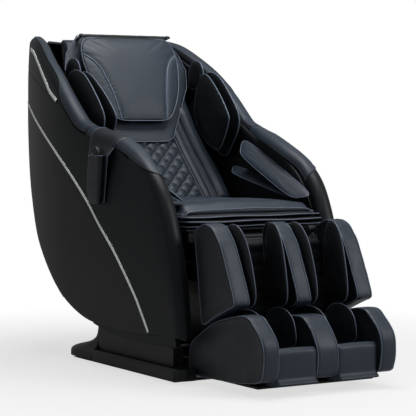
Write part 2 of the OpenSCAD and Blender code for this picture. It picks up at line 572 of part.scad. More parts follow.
foot_outline = loop_curve([[-345, 64], [-352, 124], [-417, 169], [-499, 212], [-594, 238], [-687, 249], [-735, 222], [-778, 179],
    [-790, 130], [-782, 76], [-757, 50], [-641, 34], [-531, 28.4], [-417, 28.4], [-362, 34]], 26);
foot_mid_outline = loop_curve([[-458, 60], [-458, 186], [-510, 214], [-594, 232], [-680, 236], [-724, 208], [-757, 168],
    [-772, 130], [-770, 76], [-748, 48], [-641, 34], [-560, 29.4], [-508, 29], [-474, 34]], 24);
foot_half = leg_half - 14;
foot_wall_t = 62;
foot_mid_t = 84;
tray_top = Z(28.4) - 0.6;
module foot_wall_side(side) {
    color(leather) slab(foot_outline, side * (foot_half - foot_wall_t / 2), foot_wall_t, 9);
}
module foot_wall_centre() {
    color(leather) slab(foot_mid_outline, 0, foot_mid_t, 9);
}
heel_y = Y(-452);
module foot_frame() {
    heel_half = foot_half - foot_wall_t - 2;
    reach = Z(268);
    color(plastic_black) {
        box(-heel_half, heel_half, heel_y, heel_y + 8, tray_top - 7, Z(199));
        difference() {
            box(-foot_half + 26, foot_half - 26, Y(-706), Y(-392), tray_top - 7, tray_top);
            for (side = [-1, 1], k = [0:4]) box(side * 116 - 48, side * 116 + 48, Y(-690) + k * 44, Y(-690) + k * 44 + 18, tray_top - 8, tray_top + 1);
        }
        for (side = [-1, 1]) slide_place(side * slide_x, reach) cylinder(r = slide_r, h = reach - 6);
    }
}
module foot_soles() {
    w0 = foot_mid_t / 2 + 0.6;
    w1 = foot_half - foot_wall_t - 0.6;
    front = [[-756, 34], [-768, 60], [-771, 128], [-764, 146], [-750, 151], [-732, 143], [-706, 118], [-660, 104], [-560, 98],
             [-500, 104], [-474, 124], [-465, 176], [-459, 184], [-453.2, 178], [-453.2, 34]];
    lift = tray_top + 0.3;
    outline = [for (p = front) [Y(p[0]), p[1] <= 34 ? lift : Z(p[1])]];
    color(leather) for (side = [-1, 1]) {
        x0 = side < 0 ? -w1 : w0;
        plate_x(outline, x0, x0 + w1 - w0);
    }
}
module ankle_airbags() {
    t = 13;
    shape = [[0, 0], [-4, 56], [18, 94], [66, 112], [128, 110], [176, 84], [196, 36], [188, 4], [120, -14], [50, -14]];
    w0 = foot_mid_t / 2 + t / 2 - 1.4;
    w1 = foot_half - foot_wall_t - t / 2 + 1.4;
    color(leather_dark) for (side = [-1, 1], x = [w0, w1]) {
        turn = (x == w0 ? 1 : -1) * 5;
        pad(loop_curve([for (p = shape) [p[0] * ky, p[1] * kz]], 20), [side * x, Y(-490), Z(142)],
            [side * sin(turn), -cos(turn), 0], [0, 0, 1], t);
    }
}

// ---- frames of the reclining body ----
pivot = [Y(170), 125];
seat_rail_x = 225;
bracket_x = 214;
bracket_t = 10;
recline_lever = 150;
recline_pin = pivot + recline_lever * [-sin(tilt_max / 2), cos(tilt_max / 2)];
module seat_frame() {
    pan_half = inner_half(-330, 480) - 4;
    front_y = Y(-322);
    shelf_z = Z(330);
    rig_ys = [Y(-180), Y(110)];
    rear_plate = [[Y(170), rig_z + 14], [Y(250), rig_z + 14], [Y(318), Z(425)], [Y(461), shelf_z], [Y(461), shelf_z - 7], [Y(300), shelf_z - 7], [Y(200), Z(440)]];
    color(steel) difference() {
        union() {
            box(-pan_half, pan_half, Y(-350), Y(206), Z(seat_pan) - 6, Z(seat_pan));
            for (side = [-1, 1]) {
                x = side < 0 ? -seat_rail_x - 25 : seat_rail_x;
                box(x, x + 25, Y(-336), Y(250), rig_z - 12, Z(seat_pan) - 5);
                bx = side < 0 ? -bracket_x - bracket_t : bracket_x;
                plate_x([[Y(60), rig_z], [Y(250), rig_z], [pivot[0] + 20, pivot[1] + 30], [pivot[0] + 16, pivot[1] - 6],
                    [pivot[0] - 16, pivot[1] - 6], [pivot[0] - 20, pivot[1] + 30]], bx, bx + bracket_t);
                tube_x(pivot[0], pivot[1], 18, bx, bx + bracket_t);
                px = side < 0 ? -arm_x - arm_t - 12 : arm_x + arm_t + 2;
                plate_x([[front_y, rig_z - 12], [front_y, rig_z + 12], knee + [4, 12], knee + [-10, 0], knee + [0, -12]], px, px + 10);
                tube_x(knee[0], knee[1], 12, px, px + 10);
                tube_x(knee[0], knee[1], knee_r, side < 0 ? px : arm_x - 3, side < 0 ? -arm_x + 3 : px + 10);
                rp = side < 0 ? -track_x - 14.3 : track_x + 6.3;
                plate_x(rear_plate, rp, rp + 8);
                for (y = rig_ys) {
                    reach = kx * shell_x([y / ky, 468]) - skin_t - 1.2;
                    tube_x(y, rig_z, rig_r, side < 0 ? -reach : seat_rail_x, side < 0 ? -seat_rail_x : reach);
                }
            }
            tube_x(front_y, rig_z, 14, -seat_rail_x - 1, seat_rail_x + 1);
            tube_x(Y(120), rig_z, 14, -seat_rail_x - 1, seat_rail_x + 1);
            tube_x(Y(190), rig_z, 10, -seat_rail_x - 1, seat_rail_x + 1);
            box(-track_x - 10, track_x + 10, Y(350), Y(459), shelf_z - 7, shelf_z);
            plate_x([[Y(100), rig_z], [Y(140), rig_z], recline_pin + [13, -4], recline_pin + [4, -12], recline_pin + [-10, -4]], -5, 5);
            tube_x(recline_pin[0], recline_pin[1], drive_pin_r, -14, 14);
            // saddle of the calf rest actuator
            box(-12, 12, Y(-210), Y(-150), lever_pin[1] + 18.3, Z(seat_pan) - 5);
        }
        tube_x(pivot[0], pivot[1], pivot_r + pin_clear, -bracket_x - bracket_t - 1, -bracket_x + 1);
        tube_x(pivot[0], pivot[1], pivot_r + pin_clear, bracket_x - 1, bracket_x + bracket_t + 1);
    }
}
track_x = 176;       // inner face of the track side plates
channel_d = 74;      // depth of the guide channel behind the back surface
channel_w = 20;
rack_zone = 118;     // nominal depth of the rack's pitch line
ring_teeth = round(2 * (arc_r + rack_zone) / rack_m);
rack_r = rack_m * ring_teeth / 2;
pinion_r = rack_m * pinion_teeth / 2;
backlash = 0.35;
// Band of the track: radii r0..r1, x0..x1, between fractions s0 and s1
module arc_band(r0, r1, x0, x1, s0, s1) {
    a0 = lerp(arc_a0, arc_a1, s0);
    a1 = lerp(arc_a0, arc_a1, s1);
    track_place(x0) rotate([0, 0, a0])
        rotate_extrude(angle = a1 - a0, $fn = 360) translate([r0, 0]) square([r1 - r0, x1 - x0]);
}
// Rack: trapezoid teeth pointing to the arc's centre
module rack(x0, x1, s0, s1) {
    step = 360 / ring_teeth;
    i0 = ceil(lerp(arc_a0, arc_a1, s0) / step);
    i1 = floor(lerp(arc_a0, arc_a1, s1) / step);
    root = rack_r + 1.25 * rack_m;
    tip = rack_r - 0.95 * rack_m;
    half = PI * rack_m / 4 - backlash / 2;
    // half tooth width at radius r, in degrees
    function half_deg(r) = (half + (r - rack_r) * tan(20)) / r * 180 / PI;
    function polar(r, a) = r * [cos(a), sin(a)];
    teeth = [for (i = [i0:i1]) each [polar(root, i * step - half_deg(root)), polar(tip, i * step - half_deg(tip)),
        polar(tip, i * step + half_deg(tip)), polar(root, i * step + half_deg(root))]];
    back = [polar(root + 9, (i1 + 0.5) * step), polar(root + 9, (i0 + i1) / 2 * step), polar(root + 9, (i0 - 0.5) * step)];
    track_place(x0) linear_extrude(x1 - x0) polygon(concat(teeth, back));
}
module back_frame() {
    low = -0.1;
    high = 1.0;
    function at_side(side, a, b) = side < 0 ? [-b, -a] : [a, b];
    color(steel) for (side = [-1, 1]) {
        plate = at_side(side, track_x, track_x + 6);
        lip = at_side(side, track_x - 26, track_x + 1);
        arc_band(arc_r + 50, arc_r + 150, plate[0], plate[1], low, high);
        arc_band(arc_r + channel_d - channel_w / 2 - 4, arc_r + channel_d - channel_w / 2, lip[0], lip[1], 0, high);
        arc_band(arc_r + channel_d + channel_w / 2, arc_r + channel_d + channel_w / 2 + 4, lip[0], lip[1], 0, high);
        web = at_side(side, track_x - 41, track_x + 1);
        rack(web[0], web[1] , 0.02, 0.98);
        wp = at_side(side, wing_plate_x * kx - 2, wing_plate_x * kx + 2);
        plate_x([[Y(372), Z(800)], [Y(418), Z(880)], [Y(455), Z(960)], back_at(0.66, 130), back_at(0.62, 140), back_at(0.3, 140), back_at(0.3, 60)], wp[0], wp[1]);
    }
    color(steel) {
        for (s = [0.1, 0.45, 0.7, 0.94]) {
            q = back_at(s, 142);
            reach = s == 0.1 || s == 0.7 ? kx * shell_x([q[0] / ky, q[1] / kz]) - skin_t - (s == 0.7 ? 4.2 * kx : 1.4) : track_x + 1;
            tube_x(q[0], q[1], 11, -reach, reach);
        }
        for (side = [-1, 1], s = [0.45]) {
            q = back_at(s, 130);
            tube_x(q[0], q[1], 8, side < 0 ? -wing_plate_x * kx : track_x, side < 0 ? -track_x : wing_plate_x * kx);
        }
    }
}

// ---- massage carriage ----
carriage_s = 0.24;
step = 60;           // from the carriage middle to each shaft, along the track
step_s = step / arc_len;
module at_track(s, d) {
    q = back_at(s, d);
    translate([0, q[0], q[1]]) rotate([lerp(arc_a0, arc_a1, s), 0, 0]) children();
}
walk_d = rack_r - pinion_r - arc_r;
knead_d = 88;
shaft_r = 8;
arm_gap_x = 62;
cheek_x = 126;
guide_pins = [-14, 80];
module carriage_frame() {
    // drawn from the back surface: y is the depth behind it, z runs up the track
    color(plastic_black) difference() {
        union() {
            at_track(carriage_s, 0) {
                for (side = [-1, 1]) {
                    x = side < 0 ? -cheek_x - 6 : cheek_x;
                    plate_x([[66, -82], [66, 84], [100, 92], [118, 70], [118, -92], [94, -96]], x, x + 6);
                }
                box(-cheek_x - 1, cheek_x + 1, 111, 118, 22, 56);
                box(-cheek_x - 1, cheek_x + 1, 104, 118, -92, -58);
                // gearbox and motor of the kneading drive, motor of the walking drive
                box(-20, 20, 86, 112, 22, 34);
                translate([0, 97, -50]) cylinder(r = 17, h = 73);
                tube_x(98, -96, 14, 20, cheek_x + 1);
                box(20, 44, 84, 112, -112, -82);
            }
            for (side = [-1, 1], k = guide_pins) at_track(carriage_s + k / arc_len, channel_d) {
                a = side < 0 ? -track_x + 4 : cheek_x;
                tube_x(0, 0, 5, a, a + track_x - 4 - cheek_x);
                b = side < 0 ? -track_x + 3 : track_x - 23;
                tube_x(0, 0, channel_w / 2 - 0.4, b, b + 20);
            }
        }
        at_track(carriage_s - step_s, walk_d) tube_x(0, 0, shaft_r + pin_clear, -cheek_x - 10, cheek_x + 10);
        at_track(carriage_s + step_s, knead_d) tube_x(0, 0, shaft_r + pin_clear, -cheek_x - 10, cheek_x + 10);
    }
}
// Involute pinion outline about its own axis, a gap towards angle 0
function involute(rb, r) = let(t = sqrt(max(r * r / rb / rb - 1, 0))) t * 180 / PI - atan(t);
function pinion_outline() =
    let(rb = pinion_r * cos(20), ra = pinion_r + rack_m * 0.95, rf = pinion_r - rack_m * 1.2,
        half0 = 90 / pinion_teeth - backlash / 2 / pinion_r * 180 / PI + involute(rb, pinion_r),
        rs = [max(rb, rf), lerp(max(rb, rf), ra, 0.35), lerp(max(rb, rf), ra, 0.7), ra])
    [for (k = [0:pinion_teeth - 1]) let(c = k * 360 / pinion_teeth)
        each concat([rf * [cos(c - half0 * 1.05), sin(c - half0 * 1.05)]],
            [for (r = rs) let(a = c - half0 + involute(rb, r)) r * [cos(a), sin(a)]],
            [for (i = [len(rs) - 1:-1:0]) let(r = rs[i], a = c + half0 - involute(rb, r)) r * [cos(a), sin(a)]],
            [rf * [cos(c + half0 * 1.05), sin(c + half0 * 1.05)]])];
// Angle that puts a pinion tooth into the rack gap beside it
function mesh_angle(s) =
    let(a = lerp(arc_a0, arc_a1, s), step = 360 / ring_teeth, off = a / step - round(a / step))
    180 / pinion_teeth - off * 360 / pinion_teeth;
module walk_shaft() {
    s = carriage_s - step_s;
    color("#8a8f94") at_track(s, walk_d) {
        tube_x(0, 0, shaft_r, -149, 149);
        for (x = [-149, 137]) translate([x, 0, 0]) rotate([90, 0, 90]) rotate([0, 0, mesh_angle(s)])
            linear_extrude(12) polygon(pinion_outline());
    }
}
module kneading_shaft() {
    color("#8a8f94") at_track(carriage_s + step_s, knead_d) {
        tube_x(0, 0, shaft_r, -cheek_x - 5, cheek_x + 5);
        tube_x(0, 0, 20, -7, 7);
        for (x = [-92, 84]) translate([x, 0, 0]) rotate([0, 90, 0]) cylinder(r = 14, h = 8);
    }
}
module roller(x) {
    translate([x, 0, 0]) rotate([0, 90, 0]) rotate_extrude()
        polygon(concat([[0, -14], [roller_r - 8, -14]], [for (f = [-60:30:60]) [roller_r - 8 + 8 * cos(f), 14 * sin(f)]],
            [[roller_r - 8, 14], [0, 14]]));
}
module massage_arms() {
    reach = 78;
    push = roller_r - knead_d + back_pad_t + 6.5;
    color(plastic_black) at_track(carriage_s + step_s, knead_d) for (x = [-arm_gap_x, arm_gap_x]) {
        difference() {
            union() {
                tube_x(0, 0, 17, x - 7, x + 7);
                plate_x([[-10, -10], [-10, 10], [-30, 4], [-30, -4]], x - 5, x + 5);
                tube_x(-26.5, 0, 3.5, -arm_gap_x, arm_gap_x);
                plate_x([[-12, -8], [12, -8], [push + 8, -reach], [push - 8, -reach]], x - 5, x + 5);
                plate_x([[12, 8], [-12, 8], [push - 8, reach], [push + 8, reach]], x - 5, x + 5);
                for (k = [-1, 1]) tube_x(push, k * reach, 7, x - 24, x + 24);
            }
            tube_x(0, 0, shaft_r + pin_clear, x - 20, x + 20);
        }
        for (k = [-1, 1], e = [-1, 1]) translate([0, push, k * reach]) roller(x + e * 21);
    }
}

// ---- base ----
base_half = chair_w / 2 - 52;
tube_in = 210;       // long tubes of the base
tube_out = 250;
ledge_in = max(base_half - 66, tube_out + 2);
neck_half = max(base_half - 28, ledge_in + 6);
cover_start = Y(203) + 0.5;
wheel_x = 150;
wheel_w = 22;
wheel_y = Y(378);
axle_r = 6;
module base_frame() {
    front = Y(-318);
    rear = Y(350);
    color(steel) {
        for (side = [-1, 1]) {
            x = side < 0 ? -tube_out : tube_in;
            box(x, x + tube_out - tube_in, front, rear, 14, 54);
            r = side < 0 ? -237 : 223;
            box(r, r + 14, Y(-300), Y(300), 53, 74);
            for (y = [Y(-300), Y(-20), Y(150)]) {
                a = side < 0 ? -ledge_in + 0.3 : tube_out - 1;
                box(a, a + ledge_in - 0.3 - tube_out + 1, y, y + 40, 20, 46);
            }
            for (k = [-1, 1]) {
                m = side * (wheel_x + wheel_w / 2) + k * (wheel_w / 2 + 4.5);
                box(m - 2.5, m + 2.5, rear - 20, wheel_y + 12, wheel_r - 10, wheel_r + 14);
            }
            w = side < 0 ? -wheel_x - wheel_w - 7 : wheel_x - 7;
            tube_x(wheel_y, wheel_r + 1, axle_r, w, w + wheel_w + 14);
        }
        for (y = [front, Y(0), rear - 36]) box(-tube_in - 1, tube_in + 1, y, y + 36, 18, 50);
    }
}
module rail_cover_half() {
    front = Y(-400);
    rear = Y(203);
    low = 12;
    top = 50;
    color(shell_dark) {
        intersection() {
            translate([0, rear, 0]) rotate([90, 0, 0]) linear_extrude(rear - front)
                polygon([[-base_half, low], [-base_half, top - 9], [-base_half + 7, top], [-ledge_in, top], [-ledge_in, low]]);
            translate([0, 0, low - 1]) linear_extrude(top)
                polygon([[-base_half, rear], [-base_half, front + 34], [-base_half + 10, front + 10], [-base_half + 30, front],
                    [-ledge_in, front], [-ledge_in, rear]]);
        }
        plate_x([[Y(-321), top - 1], [Y(-321), 110], [Y(173), 139], [rear, 130], [rear, top - 1]], -neck_half, -ledge_in);
    }
}
inlet_y = Y(430) + 0.5;
module base_rear_cover() {
    rows = [[12, 0], [44, 0.02], [50, 0.08], [84, 0.5], [112, 0.8], [128, 1]];
    function plan(a, f, d) =
        let(hx = lerp(base_half, neck_half - 2, f) - d, hy = lerp(Y(430), Y(215), f) - cover_start - d)
        [sin(a) < 0 ? -hx * pow(-sin(a), 2 / 3) : hx * pow(sin(a), 2 / 3), cover_start + hy * pow(abs(cos(a)), 2 / 3)];
    function spot3(p, z) = [p[0], p[1], z];
    color(shell_dark) difference() {
        skin([for (a = [-90:9:90])
            concat([for (r = rows) spot3(plan(a, r[1], 0), r[0])],
                   [for (i = [len(rows) - 1:-1:0]) spot3(plan(a, rows[i][1], skin_t), rows[i][0] - (i > 1 ? 3 : 0))])]);
        box(-97, -23, Y(380), Y(450), 18, 40);
    }
}
module base_feet() {
    color("#1b1d1f") for (side = [-1, 1], y = [Y(-280), Y(250)]) translate([side * (tube_in + tube_out) / 2, y, 0]) {
        cylinder(r = foot_r, h = 6);
        cylinder(r = foot_r - 5, h = 8);
        cylinder(r = 5, h = 13.7);
    }
}
module power_inlet() {
    color(plastic_black) {
        difference() {
            union() {
                box(-100, -20, inlet_y, inlet_y + 3, 14, 44);
                box(-96, -24, inlet_y - 26, inlet_y + 1, 18.5, 39.5);
            }
            box(-93, -64, inlet_y - 20, inlet_y + 4, 20.5, 37.5);
            box(-52, -28, inlet_y - 14, inlet_y + 4, 20.5, 37.5);
            tube_x(inlet_y - 2, 29, 1.5 + pin_clear, -54.5, -25.5);
        }
    }
    color("#b9a36a") for (k = [-1, 0, 1]) box(-79.5 + k * 7, -77.5 + k * 7, inlet_y - 21, inlet_y - 5, 27, 31);
}
module power_switch() {
    color("#7c1f1d") {
        plate_x([for (p = [[-5, -7.2], [4.5, -7.5], [3, 0], [4.5, 7.5], [-5, 7.2]]) [inlet_y - 2 + p[0], 29 + p[1]]], -51.5, -28.5);
        tube_x(inlet_y - 2, 29, 1.5, -54, -26);
    }
}
module wheel_half() {
    b = axle_r + pin_clear;
    color("#1b1d1f") translate([-wheel_x - wheel_w, wheel_y, wheel_r + 1]) rotate([0, 90, 0]) rotate_extrude()
        polygon([[b, 0], [wheel_r - 8, 0], [wheel_r - 7, 2], [wheel_r - 4, 2], [wheel_r - 3, 0.5], [wheel_r - 1, 2], [wheel_r, 5],
            [wheel_r, wheel_w - 5], [wheel_r - 1, wheel_w - 2], [wheel_r - 3, wheel_w - 0.5], [wheel_r - 4, wheel_w - 2],
            [wheel_r - 7, wheel_w - 2], [wheel_r - 8, wheel_w], [b, wheel_w]]);
}

// ---- sled and drives ----
recline_z = pivot[1] + recline_lever * (1 + cos(tilt_max / 2)) / 2;
sled_top = 82;
module sled_frame() {
    y0 = pivot[0] - 270;
    y1 = pivot[0] + 60;
    act = recline_pin[0];
    color(steel) difference() {
        union() {
            box(-246, 246, y0, y0 + 50, sled_top - 6, sled_top);
            box(-246, 246, y1 - 50, y1, sled_top - 6, sled_top);
            box(-50, 50, y0, y1, sled_top - 6, sled_top);
            for (side = [-1, 1]) {
                x = side < 0 ? -246 : 200;
                box(x, x + 46, y0, y1, sled_top - 6, sled_top);
                for (y = [y0, y1 - 50]) box(side < 0 ? -246 : 214, side < 0 ? -214 : 246, y, y + 50, 57, sled_top - 5);
                p = side < 0 ? -212 : 200;
                plate_x([[pivot[0] - 58, sled_top - 1], [pivot[0] + 58, sled_top - 1], [pivot[0] + 15, pivot[1] + 10],
                    [pivot[0] - 15, pivot[1] + 10]], p, p + 12);
                tube_x(pivot[0], pivot[1], 18, p, p + 12);
                tube_x(pivot[0], pivot[1], pivot_r, side < 0 ? -227 : 205, side < 0 ? -205 : 227);
                u = side < 0 ? -30 : 22;
                plate_x([[act - 196, sled_top - 1], [act - 80, sled_top - 1], [act - 92, recline_z - 23], [act - 190, recline_z - 23]], u, u + 8);
            }
        }
        for (x = [-237.3, 222.7]) box(x, x + 14.6, y0 - 1, y1 + 1, 50, 74.3);
    }
}
module recline_actuator() {
    act = recline_pin[0];
    color(plastic_black) difference() {
        union() {
            box(-30, 30, act - 196, act - 88, recline_z - 22.7, recline_z + 21);
            tube_y(0, recline_z - 40, 21, act - 186, act - 106);
        }
        tube_y(0, recline_z, 12.3, act - 200, act - 80);
    }
}
module recline_rod() {
    act = recline_pin[0];
    color("#8a8f94") difference() {
        union() {
            tube_y(0, recline_z, 12, act - 184, act - 16);
            for (x = [-12, 6]) plate_x([[act - 20, recline_z - 12], [act - 10, recline_z - 18], [act + 14, recline_z - 18],
                [act + 14, recline_z + 18], [act - 10, recline_z + 18], [act - 20, recline_z + 12]], x, x + 6);
        }
        box(-13, 13, act - drive_pin_r - 0.3, act + drive_pin_r + 0.3, recline_pin[1] - drive_pin_r - 0.4,
            pivot[1] + recline_lever + drive_pin_r + 0.4);
    }
}
lift_z = knee[1] - lever_len * (1 + cos(lift_max / 2)) / 2;
module legrest_actuator() {
    p = lever_pin[0];
    color(plastic_black) difference() {
        union() {
            box(-28, 28, p + 88, p + 296, lift_z - 20, lever_pin[1] + 18);
            tube_y(42, lift_z - 2, 18, p + 100, p + 236);
        }
        tube_y(0, lift_z, 11.3, p + 80, p + 300);
    }
}
module legrest_rod() {
    p = lever_pin[0];
    hole = drive_pin_r + 0.4 + lever_len * 0.0216;
    color("#8a8f94") difference() {
        union() {
            tube_y(0, lift_z, 11, p + 17, p + 225);
            for (x = [-12, 6]) plate_x([[p - 13, lift_z - 22], [p + 13, lift_z - 22], [p + 22, lift_z - 10], [p + 22, lift_z + 10],
                [p + 13, lift_z + 22], [p - 13, lift_z + 22]], x, x + 6);
        }
        box(-13, 13, p - hole, p + hole, knee[1] - lever_len - drive_pin_r - 0.4, lever_pin[1] + drive_pin_r + 0.4);
    }
}
module air_pump() {
    z = Z(330) + 0.3;
    color(plastic_black) {
        box(-120, 60, Y(362), Y(452), z, z + 62);
        translate([-70, Y(407), z + 60]) cylinder(r = 32, h = 34);
        translate([10, Y(407), z + 60]) cylinder(r = 24, h = 20);
        box(80, 150, Y(370), Y(440), z, z + 44);
        tube_x(Y(400), z + 30, 6, 58, 82);
    }
}

// ---- remote and its holster ----
pouch_x = kx * shell_half - 5;    // outer face of the shell at the pouch
pouch_y = [Y(5), Y(110)];
pouch_z = [Z(570), Z(735)];
module holster() {
    w = armrest_w;
    wall = 2.5;
    x1 = -pouch_x;
    x0 = x1 - 22;
    function strap(u, o) =
        let(n = edge_normal(top_of_main, u), q = curve(top_of_main, u), c = q - n * edge_r, x = -kx * shell_x(c))
        concat([[x1 - o + 0.7, 0, 0] + [0, c[0] * ky, Z(660)], [x1 - o + 0.7, 0, 0] + [0, c[0] * ky, pouch_z[1]]],
            [for (f = [0:22.5:180]) [x + w / 2 - (w / 2 + o) * cos(f), 0, 0] + flat(c + n * (edge_r + o) * sin(f))],
            [[x + w + o, 0, 0] + flat(c - [0, 6])]);
    color("#22262b") {
        difference() {
            box(x0, x1, pouch_y[0], pouch_y[1], pouch_z[0], pouch_z[1]);
            box(x0 + wall, x1 - wall, pouch_y[0] + wall, pouch_y[1] - wall, pouch_z[0] + wall, pouch_z[1] + 1);
        }
        skin([for (i = [0:8]) let(u = lerp(0.408, 0.496, i / 8), f = strap(u, 3.6), g = strap(u, 1.4))
            concat(f, [for (k = [len(g) - 1:-1:0]) g[k]])]);
    }
}
module remote() {
    x = -pouch_x - 4;
    y = (pouch_y[0] + pouch_y[1]) / 2;
    z = pouch_z[0] + 4;
    color(plastic_black) {
        intersection() {
            box(x - 14, x, y - 26, y + 26, z, z + 194);
            translate([x - 15, y, z + 26]) rotate([90, 0, 90]) linear_extrude(16)
                polygon(concat([for (a = [180:20:360]) 26 * [cos(a), sin(a)]], [for (a = [0:20:180]) [26 * cos(a), 142 + 26 * sin(a)]]));
        }
    }
    color("#5b6066") {
        box(x - 14.6, x - 13, y - 19, y + 19, z + 116, z + 172);
        for (i = [-1, 0, 1], k = [0:3]) translate([x - 13.2, y + i * 14, z + 30 + k * 20]) rotate([0, -90, 0]) cylinder(r = 4.5, h = 1.8);
    }
}

// ---- left is -X, right is +X ----
module main_panel_left() on_side(-1) main_panel_half();
module main_panel_right() on_side(1) main_panel_half();
module rear_panel_left() on_side(-1) rear_panel_half();
module rear_panel_right() on_side(1) rear_panel_half();
module wing_panel_left() on_side(-1) wing_panel_half();
module wing_panel_right() on_side(1) wing_panel_half();
module silver_trim_left() on_side(-1) silver_trim_half();
module silver_trim_right() on_side(1) silver_trim_half();
module edge_band_left() on_side(-1) edge_band_half();
module edge_band_right() on_side(1) edge_band_half();
module armrest_pad_left() on_side(-1) armrest_pad_half();
module armrest_pad_right() on_side(1) armrest_pad_half();
module inner_panel_left() on_side(-1) inner_panel_half();
module inner_panel_right() on_side(1) inner_panel_half();
module arm_airbags_left() on_side(-1) arm_airbags_half();
module arm_airbags_right() on_side(1) arm_airbags_half();
module shoulder_airbags_left() on_side(-1) shoulder_airbags_half();
module shoulder_airbags_right() on_side(1) shoulder_airbags_half();
module rail_cover_left() on_side(-1) rail_cover_half();
module rail_cover_right() on_side(1) rail_cover_half();
module wheel_left() on_side(-1) wheel_half();
module wheel_right() on_side(1) wheel_half();
module skirt() {
    on_side(-1) skirt_half();
    on_side(1) skirt_half();
}
module calf_wall_left() calf_wall_side(-1);
module calf_wall_right() calf_wall_side(1);
module foot_wall_left() foot_wall_side(-1);
module foot_wall_right() foot_wall_side(1);

base_frame();
rail_cover_left();
rail_cover_right();
base_rear_cover();
base_feet();
power_inlet();
power_switch();
wheel_left();
wheel_right();
sled_frame();
recline_actuator();
recline_rod();
seat_frame();
back_frame();
main_panel_left();
main_panel_right();
rear_panel_left();
rear_panel_right();
wing_panel_left();
wing_panel_right();
silver_trim_left();
silver_trim_right();
edge_band_left();
edge_band_right();
skirt();
back_cover();
armrest_pad_left();
armrest_pad_right();
inner_panel_left();
inner_panel_right();
arm_airbags_left();
arm_airbags_right();
back_pad();
drape_flap();
head_pillow();
shoulder_airbags_left();
shoulder_airbags_right();
seat_cushion();
seat_airbags();
legrest_actuator();
legrest_rod();
calf_frame();
calf_back();
calf_wall_left();
calf_wall_centre();
calf_wall_right();
calf_airbags();
foot_frame();
foot_wall_left();
foot_wall_centre();
foot_wall_right();
foot_soles();
ankle_airbags();
carriage_frame();
walk_shaft();
kneading_shaft();
massage_arms();
holster();
remote();
air_pump();
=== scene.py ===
"""A massage chair in black imitation leather: a reclining body between two tall
moulded side shells, on a base it slides forward over, with a lifting calf rest and a
footrest that slides out of it. The chair faces -Y and its left side is -X.
"""

from math import atan2, copysign, cos, degrees, exp, pi, radians, sin

import bmesh
import bpy
import mathutils
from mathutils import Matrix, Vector


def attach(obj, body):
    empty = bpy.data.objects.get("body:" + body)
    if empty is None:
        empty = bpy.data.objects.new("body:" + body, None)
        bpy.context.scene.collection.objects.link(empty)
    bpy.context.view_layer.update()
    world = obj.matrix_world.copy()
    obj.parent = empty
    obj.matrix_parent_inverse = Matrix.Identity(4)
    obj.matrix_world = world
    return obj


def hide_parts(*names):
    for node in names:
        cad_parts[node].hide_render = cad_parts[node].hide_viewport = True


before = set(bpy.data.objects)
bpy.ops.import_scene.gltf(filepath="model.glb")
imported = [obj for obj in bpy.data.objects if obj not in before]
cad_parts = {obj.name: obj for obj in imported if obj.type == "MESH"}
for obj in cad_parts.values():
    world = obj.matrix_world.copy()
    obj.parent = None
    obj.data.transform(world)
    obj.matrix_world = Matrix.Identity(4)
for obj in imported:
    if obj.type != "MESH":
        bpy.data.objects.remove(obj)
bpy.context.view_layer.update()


# ---- Camera ----
# A long lens at the height of a standing visitor's waist, a third of the way round
# from the chair's front to its left side.
def placed(name, data):
    """An object of that data, linked to the scene."""
    made = bpy.data.objects.new(name, data)
    bpy.context.scene.collection.objects.link(made)
    return made


lens = bpy.data.cameras.new("camera")
lens.lens = 148.09
lens.sensor_width = 36
lens.clip_end = 60
camera = placed("camera", lens)
camera.location = (-3.1048, -5.1242, 0.8544)
camera.rotation_euler = (radians(90 - 2.92), 0, radians(-31.452))
bpy.context.scene.camera = camera
bpy.context.scene.view_settings.view_transform = "Standard"


# ---- Studio ----
# A pale painted floor, a large soft lamp over the chair's right front, one overhead and a weak
# one on its left. The surroundings are dim and read as white only where they are looked at
# directly, so the dark shells stay dark.
def colour(hex_value):
    """Linear colour of an sRGB hex value."""
    parts = [int(hex_value[i : i + 2], 16) / 255 for i in (1, 3, 5)]
    return tuple(c / 12.92 if c <= 0.04045 else ((c + 0.055) / 1.055) ** 2.4 for c in parts) + (1,)


def add_node(material, kind, inputs=None, **settings):
    """A node of that kind; an input is given a value, or a node's output as (node, name)."""
    node = material.node_tree.nodes.new(kind)
    for name, value in settings.items():
        setattr(node, name, value)
    for name, value in (inputs or {}).items():
        if isinstance(value, tuple) and isinstance(value[0], bpy.types.Node):
            material.node_tree.links.new(value[0].outputs[value[1]], node.inputs[name])
        else:
            node.inputs[name].default_value = value
    return node


def looked_at(material):
    """1 for rays that look straight or through glass, a quarter for reflections, 0 for the rest."""
    ray = add_node(material, "ShaderNodeLightPath")
    direct = add_node(material, "ShaderNodeMath",
                      {0: (ray, "Is Camera Ray"), 1: (ray, "Is Transmission Ray")}, operation="MAXIMUM")
    return add_node(material, "ShaderNodeMath",
                    {0: (ray, "Is Glossy Ray"), 1: 0.25, 2: (direct, "Value")}, operation="MULTIPLY_ADD")


def new_material(name):
    material = bpy.data.materials.new(name)
    material.use_nodes = True
    material.node_tree.nodes.clear()
    return material


# Matt wall paint on a floor board: even, with no gloss. It whitens away from the chair and
# keeps the chair's soft shadow near it.
floor_paint = new_material("matt_floor_paint")
place = add_node(floor_paint, "ShaderNodeTexCoord")
far = add_node(floor_paint, "ShaderNodeVectorMath", {0: (place, "Object")}, operation="LENGTH")
whiten = add_node(floor_paint, "ShaderNodeMapRange",
                  {"Value": (far, "Value"), "From Min": 0.7, "From Max": 1.9, "To Min": 0.68})
share = add_node(floor_paint, "ShaderNodeMath",
                 {0: (looked_at(floor_paint), "Value"), 1: (whiten, "Result")}, operation="MULTIPLY")
